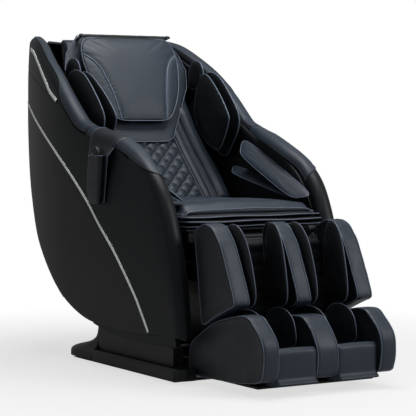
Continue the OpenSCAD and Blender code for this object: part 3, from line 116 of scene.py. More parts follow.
# shut in under the base the floor stays as dark as its shadow
spot = add_node(floor_paint, "ShaderNodeSeparateXYZ", {"Vector": (place, "Object")})
under_x = add_node(floor_paint, "ShaderNodeMath", {0: (spot, "X"), 1: 0.0, 2: 0.30}, operation="COMPARE")
under_y = add_node(floor_paint, "ShaderNodeMath", {0: (spot, "Y"), 1: 0.035, 2: 0.365}, operation="COMPARE")
shut_in = add_node(floor_paint, "ShaderNodeMath", {0: (under_x, "Value"), 1: (under_y, "Value")},
                   operation="MULTIPLY")
share = add_node(floor_paint, "ShaderNodeMath", {0: (share, "Value"), 1: (shut_in, "Value")},
                 operation="SUBTRACT", use_clamp=True)
matt = add_node(floor_paint, "ShaderNodeBsdfDiffuse", {"Color": colour("#b9b9b9")})
glow = add_node(floor_paint, "ShaderNodeEmission", {"Color": (1, 1, 1, 1), "Strength": 1.0})
mixed = add_node(floor_paint, "ShaderNodeMixShader",
                 {"Fac": (share, "Value"), 1: (matt, "BSDF"), 2: (glow, "Emission")})
add_node(floor_paint, "ShaderNodeOutputMaterial", {"Surface": (mixed, "Shader")})

bm = bmesh.new()
bmesh.ops.create_circle(bm, cap_ends=True, segments=96, radius=4.5)
floor_mesh = bpy.data.meshes.new("floor")
bm.to_mesh(floor_mesh)
bm.free()
floor_mesh.materials.append(floor_paint)
placed("floor", floor_mesh)

surroundings = bpy.data.worlds.new("surroundings")
surroundings.use_nodes = True
surroundings.node_tree.nodes.clear()
strength = add_node(surroundings, "ShaderNodeMapRange",
                    {"Value": (looked_at(surroundings), "Value"), "To Min": 0.125})
sky = add_node(surroundings, "ShaderNodeBackground",
               {"Color": (1, 1, 1, 1), "Strength": (strength, "Result")})
add_node(surroundings, "ShaderNodeOutputWorld", {"Surface": (sky, "Background")})
bpy.context.scene.world = surroundings


def softbox(name, location, target, size, watts):
    """A square lamp behind white cloth, turned towards a point."""
    lamp = bpy.data.lights.new(name, "AREA")
    lamp.size = size
    lamp.energy = watts
    box = placed(name, lamp)
    box.location = location
    box.rotation_euler = (Vector(target) - Vector(location)).to_track_quat("-Z", "Y").to_euler()


softbox("lamp_front_right", (1.9, -3.0, 2.3), (0.0, -0.2, 0.5), 1.8, 84)
softbox("lamp_overhead", (0.1, -0.3, 3.1), (0.0, 0.0, 0.5), 1.7, 92)
softbox("lamp_left", (-3.0, -1.2, 1.9), (-0.2, 0.1, 0.6), 1.4, 5)


# ---- Base ----
# A welded steel frame under two moulded covers, with a rounded cover at the back where the
# mains comes in. It stands on four levelling feet, and two wheels show when it is tipped back.
def dressed(material, hex_value, spread, cloud, rough, wear, relief, specular, metallic=0.0):
    """Ends a material: colour spread by cloud, roughness ranged by wear, and its relief."""
    base = colour(hex_value)
    dark = tuple(c * (1 - spread) for c in base[:3]) + (1,)
    pale = tuple(min(1, c * (1 + spread)) for c in base[:3]) + (1,)
    tint = add_node(material, "ShaderNodeMix", {0: (cloud, "Fac"), 6: dark, 7: pale}, data_type="RGBA")
    polish = add_node(material, "ShaderNodeMapRange",
                      {"Value": (wear, "Fac"), "From Min": 0.3, "From Max": 0.7,
                       "To Min": rough[0], "To Max": rough[1]})
    body = add_node(material, "ShaderNodeBsdfPrincipled",
                    {"Base Color": (tint, 2), "Roughness": (polish, "Result"),
                     "Normal": (relief, "Normal"), "Metallic": metallic, "Specular IOR Level": specular})
    add_node(material, "ShaderNodeOutputMaterial", {"Surface": (body, "BSDF")})
    return material


def coated(name, hex_value, roughness, grain_mm, relief_mm, metallic=0.0, mottling=0.10):
    """A moulded, painted or plated face: its colour, faint clouding and a grain of a real size."""
    material = new_material(name)
    place = add_node(material, "ShaderNodeTexCoord")
    grain = add_node(material, "ShaderNodeTexNoise",
                     {"Vector": (place, "Object"), "Scale": 500 / grain_mm, "Detail": 3.0})
    cloud = add_node(material, "ShaderNodeTexNoise",
                     {"Vector": (place, "Object"), "Scale": 7.0, "Detail": 4.0})
    relief = add_node(material, "ShaderNodeBump",
                      {"Height": (grain, "Fac"), "Strength": 0.5, "Distance": relief_mm / 1000})
    rough = (roughness - 0.04, roughness + 0.04)
    return dressed(material, hex_value, mottling, cloud, rough, cloud, relief, 0.5 if metallic else 0.2,
                   metallic)


def finish_node(material, *names):
    """Gives carried-over solids their finish."""
    for name in names:
        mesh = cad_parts[name].data
        mesh.materials.clear()
        mesh.materials.append(material)


# Spark-eroded ABS: near black, a dull sheen broken by a fine sandy grain.
base_abs = coated("textured_abs_base", "#0e1112", 0.46, 0.9, 0.10)
# Powder coat on mild steel: black, half gloss, slight orange peel.
powder_coat = coated("powder_coated_steel", "#1b1d20", 0.46, 2.2, 0.08)
# Glass-filled nylon housings: black and dry looking, with a faint fibre cloud.
nylon = coated("black_nylon_housing", "#141517", 0.52, 1.2, 0.06, mottling=0.2)
# Zinc-plated and ground steel: bright, with a short grain left by the wheel.
bright_steel = coated("ground_steel_shaft", "#a9adb2", 0.28, 0.5, 0.02, metallic=1.0)
# Moulded rubber: black, no shine, dusty looking.
rubber = coated("moulded_rubber", "#17181a", 0.82, 0.7, 0.05, mottling=0.25)
# Polycarbonate rocker: deep red and glossy.
red_rocker = coated("red_polycarbonate", "#7c1f1d", 0.22, 3.0, 0.01)

finish_node(powder_coat, "base_frame")
finish_node(base_abs, "rail_cover_left", "rail_cover_right")
finish_node(nylon, "power_inlet")
finish_node(rubber, "base_feet", "wheel_left", "wheel_right")
finish_node(red_rocker, "power_switch")

# ---- Sled, drives and frames ----
# The sled rolls along the base rails and carries the body's two pivots. Screw drives tilt
# the body and lift the calf rest. The seat and back frames are bent and welded steel.
finish_node(powder_coat, "sled_frame", "seat_frame", "back_frame", "calf_frame")
finish_node(nylon, "recline_actuator", "legrest_actuator", "air_pump", "foot_frame", "carriage_frame")
# Salt-bath nitrided rods: dark grey, smooth and half bright.
nitrided_steel = coated("nitrided_steel_rod", "#2c2f33", 0.34, 0.5, 0.01, metallic=0.6)
finish_node(nitrided_steel, "recline_rod", "legrest_rod")
finish_node(bright_steel, "walk_shaft", "kneading_shaft")

# ---- Massage arms ----
# Two cast arms sit on the kneading shaft, each with rubber-tyred rollers at both ends. All of
# it lies under the back pad, so the arms and tyres share one black rubber finish.
finish_node(rubber, "massage_arms")


# ---- Side shells ----
# Each side is three thin skins of moulded ABS: a dark panel in front, rolled over along its
# front edge, an olive-grey quarter behind it, and the wing above. A bright strip covers the
# joint of the first two and a short one lies on the wing.
MM = 0.001
SIDES = ((-1, "left"), (1, "right"))
EDGE_R = 31.0  # radius of the rolled front edge
SKIN = 4.0
GAP = 0.8  # between neighbouring skins
# the lines are drawn in the side view, as (y, z) points
ridge_line = [(765, 1172), (651, 1145), (531, 1084), (425, 1021), (330, 948), (252, 884), (202, 851)]
arm_line = [(202, 851), (100, 822), (-2, 798), (-152, 738), (-262, 661), (-332, 549), (-384, 388),
            (-404, 261), (-408, 151)]
trim_line = [(788, 925), (654, 880), (463, 793), (296, 693), (150, 585), (57, 498), (-43, 408),
             (-142, 295), (-184, 234), (-229, 151)]
rear_line = [(799, 905), (800, 839), (776, 745), (733, 640), (674, 545), (594, 436), (490, 343),
             (387, 261), (287, 203), (170, 163), (40, 151), (-110, 147), (-222, 147)]
seam_line = [(786, 1047), (658, 1021), (509, 970), (359, 916), (326, 904)]
short_trim = [(716, 1121), (650, 1104), (560, 1052), (494, 1005), (438, 960), (376, 926)]
top_of_main = ridge_line[2:] + arm_line[1:]
whole_top = ridge_line + arm_line[1:]
crest = arm_line[:1:-1] + ridge_line[::-2]


def spline(a, b, c, d, s):
    """A share s of the way from b to c, on a smooth curve through all four."""
    return 0.5 * (2 * b + (c - a) * s + (2 * a - 5 * b + 4 * c - d) * s * s + (3 * b - a - 3 * c + d) * s**3)


def curve(points, t):
    """Smooth curve through points, t from 0 to 1."""
    s = min(max(t, 0.0), 1.0) * (len(points) - 1)
    i = min(int(s), len(points) - 2)
    return spline(*(Vector(points[min(max(i + k, 0), len(points) - 1)]) for k in (-1, 0, 1, 2)), s - i)


def between(pairs, x):
    """Height of a line of (x, value) pairs at x."""
    for (x0, v0), (x1, v1) in zip(pairs, pairs[1:]):
        if x <= x1:
            return v0 + (v1 - v0) * max(0.0, (x - x0) / (x1 - x0))
    return pairs[-1][1]


def eased(t):
    t = min(max(t, 0.0), 1.0)
    return t * t * (3 - 2 * t)


def normal_of(line, u):
    """Unit normal of an outline in the side view, pointing out of the shell."""
    run = (curve(line, min(u + 0.01, 1)) - curve(line, max(u - 0.01, 0))).normalized()
    return Vector((run.y, -run.x))


def shell_half(y, z):
    """Half width over the shells at a point of the side view."""
    if y < 320:
        middle = 380 - 45 * ((320 - y) / 740) ** 1.6
    else:
        middle = 380 - 95 * ((y - 320) / 480) ** 2
    roll = max(0.0, 1 - (between(crest, y) - z) / 220)
    tuck = max(0.0, 1 - (z - 145) / 300)
    return middle - (8 + 20 * exp(-(((y + 20) / 150) ** 2))) * roll * roll - 14 * tuck * tuck


def at(x, y, z):
    """A place given in millimetres."""
    return Vector((x, y, z)) * MM


def beside(side, half, point):
    """A point of the side view, half from the chair's middle."""
    return at(side * half, point[0], point[1])


def spread(steps, low=0.0, high=1.0):
    """Evenly spaced values from low to high."""
    return [low + (high - low) * k / steps for k in range(steps + 1)]


def on_shell(side, point, depth=0.0):
    return beside(side, shell_half(point[0], point[1]) - depth, point)


def surface(cols, rows, put, turn=False):
    """A sheet of cols by rows squares, each corner put where put(u, v) says."""
    bm = bmesh.new()
    bmesh.ops.create_grid(bm, x_segments=cols, y_segments=rows, size=1)
    for v in bm.verts:
        v.co = put((v.co.x + 1) / 2, (v.co.y + 1) / 2)
    if turn:
        bmesh.ops.reverse_faces(bm, faces=bm.faces)
    return bm


def swept(sections, turn=False):
    """A sheet through sections of equal count."""
    cols, rows = len(sections) - 1, len(sections[0]) - 1
    return surface(cols, rows, lambda u, v: sections[round(u * cols)][round(v * rows)], turn)


def thickened(thickness, offset):
    return [("SOLIDIFY", {"thickness": thickness * MM, "offset": offset})]


def rigged(name, mesh, material, body):
    """Shows a smooth mesh as a piece that rides on a body, in its finish."""
    mesh.materials.clear()
    mesh.materials.append(material)
    mesh.shade_smooth()
    made = placed(name, mesh)
    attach(made, body)
    return made


def piece(name, bm, material, *replaced, body="chair_body", modifiers=(), fill=None):
    """Makes a bmesh a piece that stands for the solids it replaces; fill is not used."""
    mesh = bpy.data.meshes.new(name)
    bm.to_mesh(mesh)
    bm.free()
    made = rigged(name, mesh, material, body)
    for kind, settings in modifiers:
        modifier = made.modifiers.new(kind.lower(), kind)
        for key, value in settings.items():
            setattr(modifier, key, value)
    if replaced:
        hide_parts(*replaced)
    return made


def rolled_profile(side, a, b, radius, back, across=22, arc=12):
    """Section of a skin from a to b: turned in at a, rolled over at b and returned inwards."""
    run = (b - a).normalized()
    e = b - run * radius
    outer = shell_half(e.x, e.y)
    points = [on_shell(side, a, 3.4), on_shell(side, a, 0.9), on_shell(side, a + run * 1.1)]
    points += [on_shell(side, a + (e - a) * f) for f in spread(across)[1:]]
    for f in spread(arc, 0.0, pi)[1:]:
        points.append(beside(side, outer - radius * (1 - cos(f)), e + run * radius * sin(f)))
    points.append(beside(side, outer - 2 * radius, e - run * back))
    return points


# Shares along the top line: the armrest starts, the roll starts, the wing's seam ends.
PAD_FROM, ROLL_FROM, WING_U = 0.365, 0.56, 0.3


def main_profile(side, u):
    a = curve(trim_line, u)
    t = curve(seam_line, u / WING_U) if u < WING_U else curve(top_of_main, u)
    run = (t - a).normalized()
    if u > ROLL_FROM:
        return rolled_profile(side, a + run * GAP / 2, t, EDGE_R, 34)
    if u < WING_U:
        b = t - run * GAP / 2
    else:
        w = (4.3 + (12 * ROLL_FROM + 2 - 4.3) * (u - WING_U) / (ROLL_FROM - WING_U)) / 14
        b = curve(whole_top, w) - normal_of(whole_top, w) * (EDGE_R + GAP + 0.6)
    return rolled_profile(side, a + run * GAP / 2, b, SKIN + 0.5, 4)


BAND_ANGLE = 74  # how far round the roll the wing's panel runs before the leather band


def wing_profile(side, u):
    a, n = curve(seam_line, 0.92 * u), normal_of(ridge_line, 0.66 * u)
    e = curve(ridge_line, 0.66 * u) - n * EDGE_R
    run = (e - a).normalized()
    outer = shell_half(e.x, e.y)
    points = [on_shell(side, a + run * GAP / 2, depth) for depth in (3.4, 0.9)]
    points += [on_shell(side, a + (e - a) * ((k + 0.4) / 15)) for k in range(15)]
    last = BAND_ANGLE * (1 - eased((u - 0.8) / 0.2) * 0.75)
    for f in spread(8, 0.0, radians(last)):
        points.append(beside(side, outer - EDGE_R * (1 - cos(f)), e + n * EDGE_R * sin(f)))
    return points


def quarter_profile(side, u):
    a, b = curve(rear_line, u), curve(trim_line, u)
    run = (b - a).normalized()
    b -= run * GAP / 2
    points = [on_shell(side, a + run * 2.0, 5.0), on_shell(side, a, 3.0), on_shell(side, a + run * 1.5, 0.6)]
    points += [on_shell(side, a + run * 4 + (b - a - run * 5.1) * f) for f in spread(20)]
    return points + [on_shell(side, b, 0.9), on_shell(side, b, 3.4)]


def strip_profile(side, line, u, wide=1.0):
    n, q = normal_of(line, u) * wide, curve(line, u)
    marks = ((-5.6, -0.4), (-5.6, -1.7), (-4.4, -2.5), (0, -2.9), (4.4, -2.5), (5.6, -1.7), (5.6, -0.4))
    return [on_shell(side, q + n * across, depth) for across, depth in marks]


def satin_paint(name, hex_value, roughness):
    """Sprayed satin paint over moulded ABS: wide soft reflections, faint clouding, no grain to see."""
    material = new_material(name)
    place = add_node(material, "ShaderNodeTexCoord")
    cloud = add_node(material, "ShaderNodeTexNoise",
                     {"Vector": (place, "Object"), "Scale": 5.0, "Detail": 5.0})
    speck = add_node(material, "ShaderNodeTexNoise",
                     {"Vector": (place, "Object"), "Scale": 420.0, "Detail": 2.0})
    relief = add_node(material, "ShaderNodeBump",
                      {"Height": (speck, "Fac"), "Strength": 0.25, "Distance": 0.00006})
    rough = (roughness - 0.03, roughness + 0.03)
    return dressed(material, hex_value, 0.12, cloud, rough, speck, relief, 0.15)


panel_paint = satin_paint("satin_black_paint", "#0a0e11", 0.46)
quarter_paint = satin_paint("satin_olive_grey_paint", "#1c201c", 0.48)
# Vacuum-metallised ABS: silver, a soft mirror with a milky clear coat.
silver_plate = coated("metallised_silver_strip", "#e4e7e6", 0.42, 1.5, 0.01, metallic=0.25,
                      mottling=0.03)
skin = thickened(SKIN, -1.0)

side_steps = spread(44, 0.0, ROLL_FROM) + spread(40, ROLL_FROM + 0.003)
side_steps = sorted(side_steps + [WING_U - 0.003, WING_U + 0.001])
for side, hand in SIDES:
    piece(f"front_panel_{hand}", swept([main_profile(side, u) for u in side_steps], side > 0),
          panel_paint, f"main_panel_{hand}", modifiers=skin)
    piece(f"wing_shell_{hand}", swept([wing_profile(side, u) for u in spread(30)], side > 0),
          panel_paint, f"wing_panel_{hand}", modifiers=skin)
    piece(f"quarter_panel_{hand}", swept([quarter_profile(side, u) for u in spread(70)], side > 0),
          quarter_paint, f"rear_panel_{hand}", modifiers=skin)
    strips = swept([strip_profile(side, trim_line, u) for u in spread(90, 0.012, 0.988)], side > 0)
    short_strip = swept([strip_profile(side, short_trim, u, 1.25) for u in spread(30)], side > 0)
    spare = bpy.data.meshes.new("short_strip")
    short_strip.to_mesh(spare)
    short_strip.free()
    strips.from_mesh(spare)
    bpy.data.meshes.remove(spare)
    bmesh.ops.holes_fill(strips, edges=[e for e in strips.edges if e.is_boundary])
    piece(f"silver_strips_{hand}", strips, silver_plate, f"silver_trim_{hand}")
finish_node(panel_paint, "skirt", "back_cover")

# ---- Rear cover of the base ----
# One moulded ABS cap with a rounded rim, swept up to the foot's neck. It butts against the
# two rail covers, and the mains inlet opens through its back.
# each row: height, half width, y of the rear, and how square the corners are
cap_rows = [(12, 328, 428, 7), (22, 328, 428, 7), (33, 327.5, 427, 7), (40, 324, 421, 7),
            (46, 319.5, 412, 6.6), (50, 314, 402, 6.2), (54, 310, 388, 5.6), (60, 305, 362, 5),
            (68, 302, 330, 4.4), (78, 300.5, 296, 4), (90, 299.5, 262, 3.6), (106, 299, 236, 3.3),
            (128, 298, 222, 3)]
CAP_FRONT = 204
inlet_x, inlet_z = (-97, -23), (18, 40)


def cap_point(u, v):
    z, half, rear, power = cap_rows[round(v * (len(cap_rows) - 1))]
    a = pi * (u - 0.5)
    reach = (abs(sin(a)) ** power + abs(cos(a)) ** power) ** (-1 / power)
    y = CAP_FRONT + (rear - CAP_FRONT) * reach * max(cos(a), 0)
    return at(half * reach * sin(a), y, z)


cap = surface(96, len(cap_rows) - 1, cap_point)
cuts = [((x, 0, 0), (1, 0, 0)) for x in inlet_x] + [((0, 0, z), (0, 0, 1)) for z in inlet_z]
for place, normal in cuts:
    bmesh.ops.bisect_plane(cap, geom=[*cap.verts, *cap.edges, *cap.faces], plane_co=Vector(place) * MM,
                           plane_no=normal)
middles = [(f, f.calc_center_median() / MM) for f in cap.faces]
before_inlet = [f for f, c in middles
                if c.y > 350 and inlet_x[0] < c.x < inlet_x[1] and inlet_z[0] < c.z < inlet_z[1]]
bmesh.ops.delete(cap, geom=before_inlet, context="FACES")
bmesh.ops.recalc_face_normals(cap, faces=cap.faces)
if sum(f.normal.y for f in cap.faces) < 0:
    bmesh.ops.reverse_faces(cap, faces=cap.faces)
piece("base_rear_cover_moulding", cap, base_abs, "base_rear_cover", body="base",
      modifiers=thickened(3, -1.0))


# ---- Side linings and edge bands ----
# The inner faces of the sides are hung with plain leather. A padded band is pulled over
# each wing's edge, and a wider, softer one makes the armrest. Corded seams finish both.
def leather(name, hex_value, roughness, pebble_mm=1.6, crease=0.5):
    """Polyurethane leather: embossed pebbles, soft creases, and a polish that varies with them."""
    material = new_material(name)
    place = add_node(material, "ShaderNodeTexCoord")
    # real pebbles are 0.6 mm; they are drawn coarser so that they show
    pebbles = add_node(material, "ShaderNodeTexVoronoi",
                       {"Vector": (place, "Object"), "Scale": 1000 / pebble_mm, "Randomness": 0.85})
    folds = add_node(material, "ShaderNodeTexNoise",
                     {"Vector": (place, "Object"), "Scale": 11.0, "Detail": 5.0, "Distortion": 0.7})
    wear = add_node(material, "ShaderNodeTexNoise",
                    {"Vector": (place, "Object"), "Scale": 3.2, "Detail": 3.0})
    grain = add_node(material, "ShaderNodeBump",
                     {"Height": (pebbles, "Distance"), "Strength": 0.35, "Distance": 0.00018}, invert=True)
    relief = add_node(material, "ShaderNodeBump", {"Height": (folds, "Fac"), "Strength": crease,
                                                   "Distance": 0.0025, "Normal": (grain, "Normal")})
    rough = (roughness - 0.05, roughness + 0.06)
    return dressed(material, hex_value, 0.2, wear, rough, folds, relief, 0.26)


upholstery = leather("black_pu_leather", "#1f2731", 0.50)
dark_upholstery = leather("black_pu_leather_lining", "#0a0d11", 0.50)
# Smooth leather over the cords, coloured paler than the cover: the paleness is a painted highlight running
# along every cord.
painted_highlight_piping_leather = leather("smooth_pu_piping_painted_highlight", "#4e5866", 0.38, pebble_mm=1.0, crease=0.2)
# Lock stitch in thick bonded nylon: short slanted dashes, a shade paler than the leather.
thread = coated("bonded_nylon_thread", "#5a6068", 0.5, 0.5, 0.05, mottling=0.2)
rounding = [("SUBSURF", {"levels": 1, "render_levels": 1})]


def closed_up(bm):
    """Fills a form's open ends and turns its faces outwards."""
    bmesh.ops.holes_fill(bm, edges=[e for e in bm.edges if e.is_boundary])
    bmesh.ops.recalc_face_normals(bm, faces=bm.faces)
    return bm


def lofted(rings):
    """A closed form through rings of equal count; a ring drawn to one point is a pole."""
    around, steps = len(rings[0]), len(rings) - 1
    bm = surface(around, steps, lambda u, v: rings[round(v * steps)][round(u * around) % around])
    bmesh.ops.remove_doubles(bm, verts=bm.verts, dist=1e-6)
    return closed_up(bm)


def evaluated(shape):
    """The mesh that an object's settings and modifiers make of it."""
    graph = bpy.context.evaluated_depsgraph_get()
    return bpy.data.meshes.new_from_object(shape.evaluated_get(graph))


def cord_piping(name, lines, radius, material=painted_highlight_piping_leather, body="chair_body", closed=False):
    """Covered cord sewn into a seam: a thin tube along each line of points."""
    path = bpy.data.curves.new(name, "CURVE")
    path.dimensions, path.bevel_depth, path.bevel_resolution = "3D", radius * MM, 2
    path.use_fill_caps = True
    for line in lines:
        seam = path.splines.new("POLY")
        seam.points.add(len(line) - 1)
        for mark, point in zip(seam.points, line):
            mark.co = (*point, 1)
        seam.use_cyclic_u = closed
    sketch = placed(name + "_path", path)
    mesh = evaluated(sketch)
    bpy.data.objects.remove(sketch)
    mesh.name = name
    rigged(name, mesh, material, body)


def stitching(name, lines, body="chair_body", radius=0.55):
    """Rows of short stitches along lines of points."""
    stitch, gap = 4.6, 2.6
    stitches = []
    for line in lines:
        line = [Vector(p) for p in line if p is not None]
        room, sewn, start = stitch, True, line[0]
        for a, b in zip(line, line[1:]):
            length = (b - a).length / MM
            done = 0.0
            while length - done > room:
                done += room
                stop = a.lerp(b, done / length)
                if sewn:
                    stitches.append([start, stop])
                start, sewn = stop, not sewn
                room = stitch if sewn else gap
            room -= length - done
    cord_piping(name, stitches, radius, thread, body)


def band_ring(side, line, u, width, swell, lift=0.0, start=0.0, end=pi):
    """D-shaped section of a padded band on an outline of the shell, from angle start to end."""
    n = normal_of(line, u)
    c = curve(line, u) - n * EDGE_R
    outer = shell_half(c.x, c.y)

    def mark(f, grow):
        high = (EDGE_R + grow) * sin(f) ** 0.86 if f < pi else 0.0
        across = width / 2 * (1 - copysign(abs(cos(f)) ** 0.8, cos(f)))
        return beside(side, outer - across, c + n * (high + swell * max(sin(f), 0) ** 3))

    ring = [mark(f, lift) for f in spread(16, start, end)]
    for share in (0.98, 0.75, 0.25, 0.02):
        if start > 0:
            ring.append(mark(start + (end - start) * share, -2.5))
        else:
            ring.append(beside(side, outer - width * share, c))
    return ring


def drawn_in(rings):
    """Adds a rounded end at both ends of a row of rings."""
    def shrunk(ring, other, share, reach):
        c = sum(ring, Vector()) / len(ring)
        away = (c - sum(other, Vector()) / len(other)).normalized()
        return [c + (p - c) * share + away * reach for p in ring]

    ends = []
    for ring, other in ((rings[0], rings[1]), (rings[-1], rings[-2])):
        ends.append([shrunk(ring, other, 0.55, 0.004), shrunk(ring, other, 0.9, 0.0025)])
    return ends[0] + rings + ends[1][::-1]


lining_low = [(640, 1085), (540, 930), (440, 770), (330, 600), (262, 506), (190, 482.5), (60, 482),
              (-120, 480.3), (-300, 480.3)]
lining_top = [(700, 1132), (600, 1076), (440, 985), (300, 870), (200, 823), (100, 782), (-60, 734),
              (-190, 656), (-270, 552)]


def lining_point(side, u, v):
    low, top = curve(lining_low, u), curve(lining_top, u) + normal_of(lining_top, u) * 11
    return on_shell(side, low + (top - low) * v, 2 * EDGE_R + 0.5 + 2.0 * sin(pi * v))


# the armrest's outer seam runs over the roll, at these angles for shares of the top line
oblique = [(0.5, 0), (0.56, 8), (0.6, 21), (0.633, 50), (0.65, 93), (0.656, 138), (0.662, 172)]
pad_start, pad_end = PAD_FROM + 0.008, oblique[-1][0]
for side, hand in SIDES:
    band, facing = [], []
    for w in spread(46, 0.002, 0.4605):
        start = (BAND_ANGLE - 4) * (1 - eased((w * 14 / 3.96 - 0.8) / 0.25) * 0.9)
        wing = (side, whole_top, w, 2 * EDGE_R)
        band.append(band_ring(*wing, 1.2, 0.8, radians(start), radians(138)))
        facing.append(band_ring(*wing, 0, -0.4, radians(134)))
    piece(f"wing_edge_band_{hand}", lofted(drawn_in(band)), upholstery, f"edge_band_{hand}",
          modifiers=rounding, fill=0.7)
    piece(f"wing_facing_{hand}", lofted(drawn_in(facing)), dark_upholstery, modifiers=rounding)
    rests = []
    for i in range(49):
        u = pad_start + (pad_end - pad_start) * (i / 48) ** 0.8
        puff = 3.2 * sin(pi * min(i / 40, 1)) ** 0.5
        width = 62 + 14 * eased(i / 14) * (1 - eased((i - 26) / 14))
        rests.append(band_ring(side, top_of_main, u, width, puff * 0.6, puff * 0.4 + 1.0,
                               radians(between(oblique, u))))
    piece(f"armrest_pad_soft_{hand}", lofted(drawn_in(rests)), upholstery, f"armrest_pad_{hand}",
          modifiers=rounding, fill=0.75)
    seams = [[r[k] for r in row] for row in (band, rests) for k in (0, 15)]
    cord_piping(f"side_band_piping_{hand}", [*seams, rests[0][:17]], 1.2, dark_upholstery)
    row = [r[2].lerp(r[3], 0.3) + Vector((0, 0, 0.0006)) for r in rests[:40]]
    stitching(f"armrest_stitching_{hand}", [row], radius=0.5)
    lining = surface(60, 16, lambda u, v, side=side: lining_point(side, u, v), side < 0)
    piece(f"side_lining_{hand}", lining, dark_upholstery, f"inner_panel_{hand}", modifiers=thickened(6, 1.0))

# ---- Back pad ----
# Foam on the back frame under one sewn cover: diamond quilting down the middle, a flat
# stitched channel and a fat bolster either side of it, and rolled outer edges.
# The back is an arc in the side view, and a share of its height is a share of its angle.
ARC_Y, ARC_Z, ARC_RADIUS = -1430.28, 1936.75, 2176.14
ARC_START, ARC_SWEEP = -39.246, 17.429
ARC_LOW, ARC_HEIGHT = 560, 568


def on_back(x, share, depth):
    """Point at a share of the height of the curved back, depth behind its surface."""
    a = radians(ARC_START + ARC_SWEEP * share)
    r = ARC_RADIUS + depth
    return at(x, ARC_Y + r * cos(a), ARC_Z + r * sin(a))


def share_of(z):
    return (z - ARC_LOW) / ARC_HEIGHT


# half widths at heights, of the pad and of its quilted middle
pad_halves = [(540, 292), (600, 290), (684, 285), (759, 262), (834, 247), (921, 238), (1045, 236),
              (1128, 228), (1180, 222)]
quilt_halves = [(540, 178), (560, 172), (638, 162), (716, 148), (790, 137), (900, 118), (1128, 100),
                (1180, 98)]
DIAMOND = 54
# rise of the sewn cover from the quilting's edge (0) to the pad's own edge (1)
bolster_marks = [(0, -5), (0.02, 0), (0.06, 8), (0.17, 11.5), (0.28, 8), (0.315, 0.5), (0.325, 0.5),
                 (0.36, 6), (0.41, 6), (0.445, 0.5), (0.455, 0.5), (0.49, 12), (0.58, 20), (0.68, 22),
                 (0.80, 19), (0.90, 12), (0.96, 3), (1, -14)]


def quilt_relief(x, z):
    """Height of the sewn back over its plane, in mm."""
    inner, outer = between(quilt_halves, z), between(pad_halves, z)
    along, away = (z - ARC_LOW) * 1.166, abs(x)
    fade = 1 - eased((z - 880) / 60)
    if away < inner:
        p, q = (x + along) / DIAMOND, (x - along) / DIAMOND
        puff = abs(cos(pi * p) * cos(pi * q)) ** 0.30
        edge = eased((inner - away) / 12)
        return (-5 + (14 * puff * edge) * fade) + 4 * (1 - fade)
    height = between(bolster_marks, (away - inner) / (outer - inner))
    return height * (0.25 + 0.75 * fade) if height > 0 else height


def back_surface(u, v):
    z = 548 + 612 * v
    x = (2 * u - 1) * between(pad_halves, z)
    end = min(v, 1 - v) * 612
    drop = 16 * (1 - eased(end / 18)) + 4 * (1 - eased(end / 45))
    return on_back(x, share_of(z), drop - quilt_relief(x, z) * eased(end / 26 + 0.15))


def walled(form, place):
    """Draws a sheet's rim out into a wall; place gives each new corner from the rim's."""
    grown = bmesh.ops.extrude_edge_only(form, edges=[e for e in form.edges if e.is_boundary])
    for v in grown["geom"]:
        if isinstance(v, bmesh.types.BMVert):
            v.co = place(v.co)


def to_frame(p):
    """The pad's rim laid back on the frame."""
    a = degrees(atan2(p.z / MM - ARC_Z, p.y / MM - ARC_Y))
    return on_back(p.x / MM * 0.985, (a - ARC_START) / ARC_SWEEP, 43.5)


pad_form = surface(250, 236, back_surface)
walled(pad_form, to_frame)
piece("quilted_back_pad", closed_up(pad_form), upholstery, "back_pad", fill=0.8)


def over(shape, point, direction, lift):
    """Where a line along direction through point meets a made piece, lifted off it."""
    back = Vector(direction).normalized()
    if not shape.get("seen"):
        bpy.context.view_layer.update()
        shape["seen"] = 1
    hit, spot, normal, _ = shape.ray_cast(Vector(point) - back * 0.3, back)
    return spot + normal * lift * MM if hit else None


def bolster_stitch(side, f, z):
    """Point of a stitched row, a share f of the way from the quilting to the pad's edge."""
    inner, outer = between(quilt_halves, z), between(pad_halves, z)
    x = side * (inner + (outer - inner) * f)
    return on_back(x, share_of(z), -quilt_relief(x, z) - 0.5)


def quilt_border(side, z):
    return on_back(side * (between(quilt_halves, z) + 2.5), share_of(z), -1.6)


rows = [[bolster_stitch(side, f, z) for z in spread(79, 572, 922)]
        for side in (-1, 1) for f in (0.30, 0.34, 0.43, 0.47)]
stitching("back_pad_stitching", rows)
borders = [[quilt_border(side, z) for z in spread(60, 560, 940)] for side in (-1, 1)]
cord_piping("back_pad_border_piping", borders, 1.8)

# ---- Drape and head pillow ----
# A soft leather drape hangs over the top of the back. In front of it hangs the pillow,
# three panels of leather over loose filling, sewn with two curved corded seams. Its top hem
# holds a rod in two loops of the drape.
drape_halves = [(784, 96), (797, 126), (850, 160), (906, 196), (983, 244), (1045, 258), (1100, 240),
                (1128, 214), (1166, 180)]
drape_heights = [784, 786, 790, 797, 806, 820, 835, 850, 870, 890, 906, 930, 955, 983, 1010, 1045, 1075,
                 1100, 1128, 1150, 1160, 1166]


def drape_ring(z):
    """Section of the drape: its front from left to right, and its flat rear back again."""
    half, share, front, rear = between(drape_halves, z), share_of(z), [], []
    thick = 6.0 * eased((z - 780) / 16) * (1 - 0.5 * eased((z - 1150) / 16))
    wave = 1.6 * sin(z / 31)
    for f in spread(20, -1, 1):
        hang = 16.0 * max(0.0, abs(f) - 0.75)
        belly = thick * (1 - abs(f) ** 8) + wave * (1 - f * f) * abs(f)
        front.append(on_back(half * f, share, -9.5 - belly - hang))
        rear.append(on_back(half * f, share, -7.5 - hang))
    return front + rear[::-1]


drape_rings = [drape_ring(z) for z in drape_heights]
piece("pillow_drape", lofted(drape_rings), upholstery, "drape_flap", modifiers=rounding, fill=0.35)
edge = [r[0] for r in drape_rings[::-1]] + drape_rings[0][1:20] + [r[20] for r in drape_rings]
cord_piping("pillow_drape_piping", [[p + Vector((0, -0.0015, 0)) for p in edge]], 1.7)

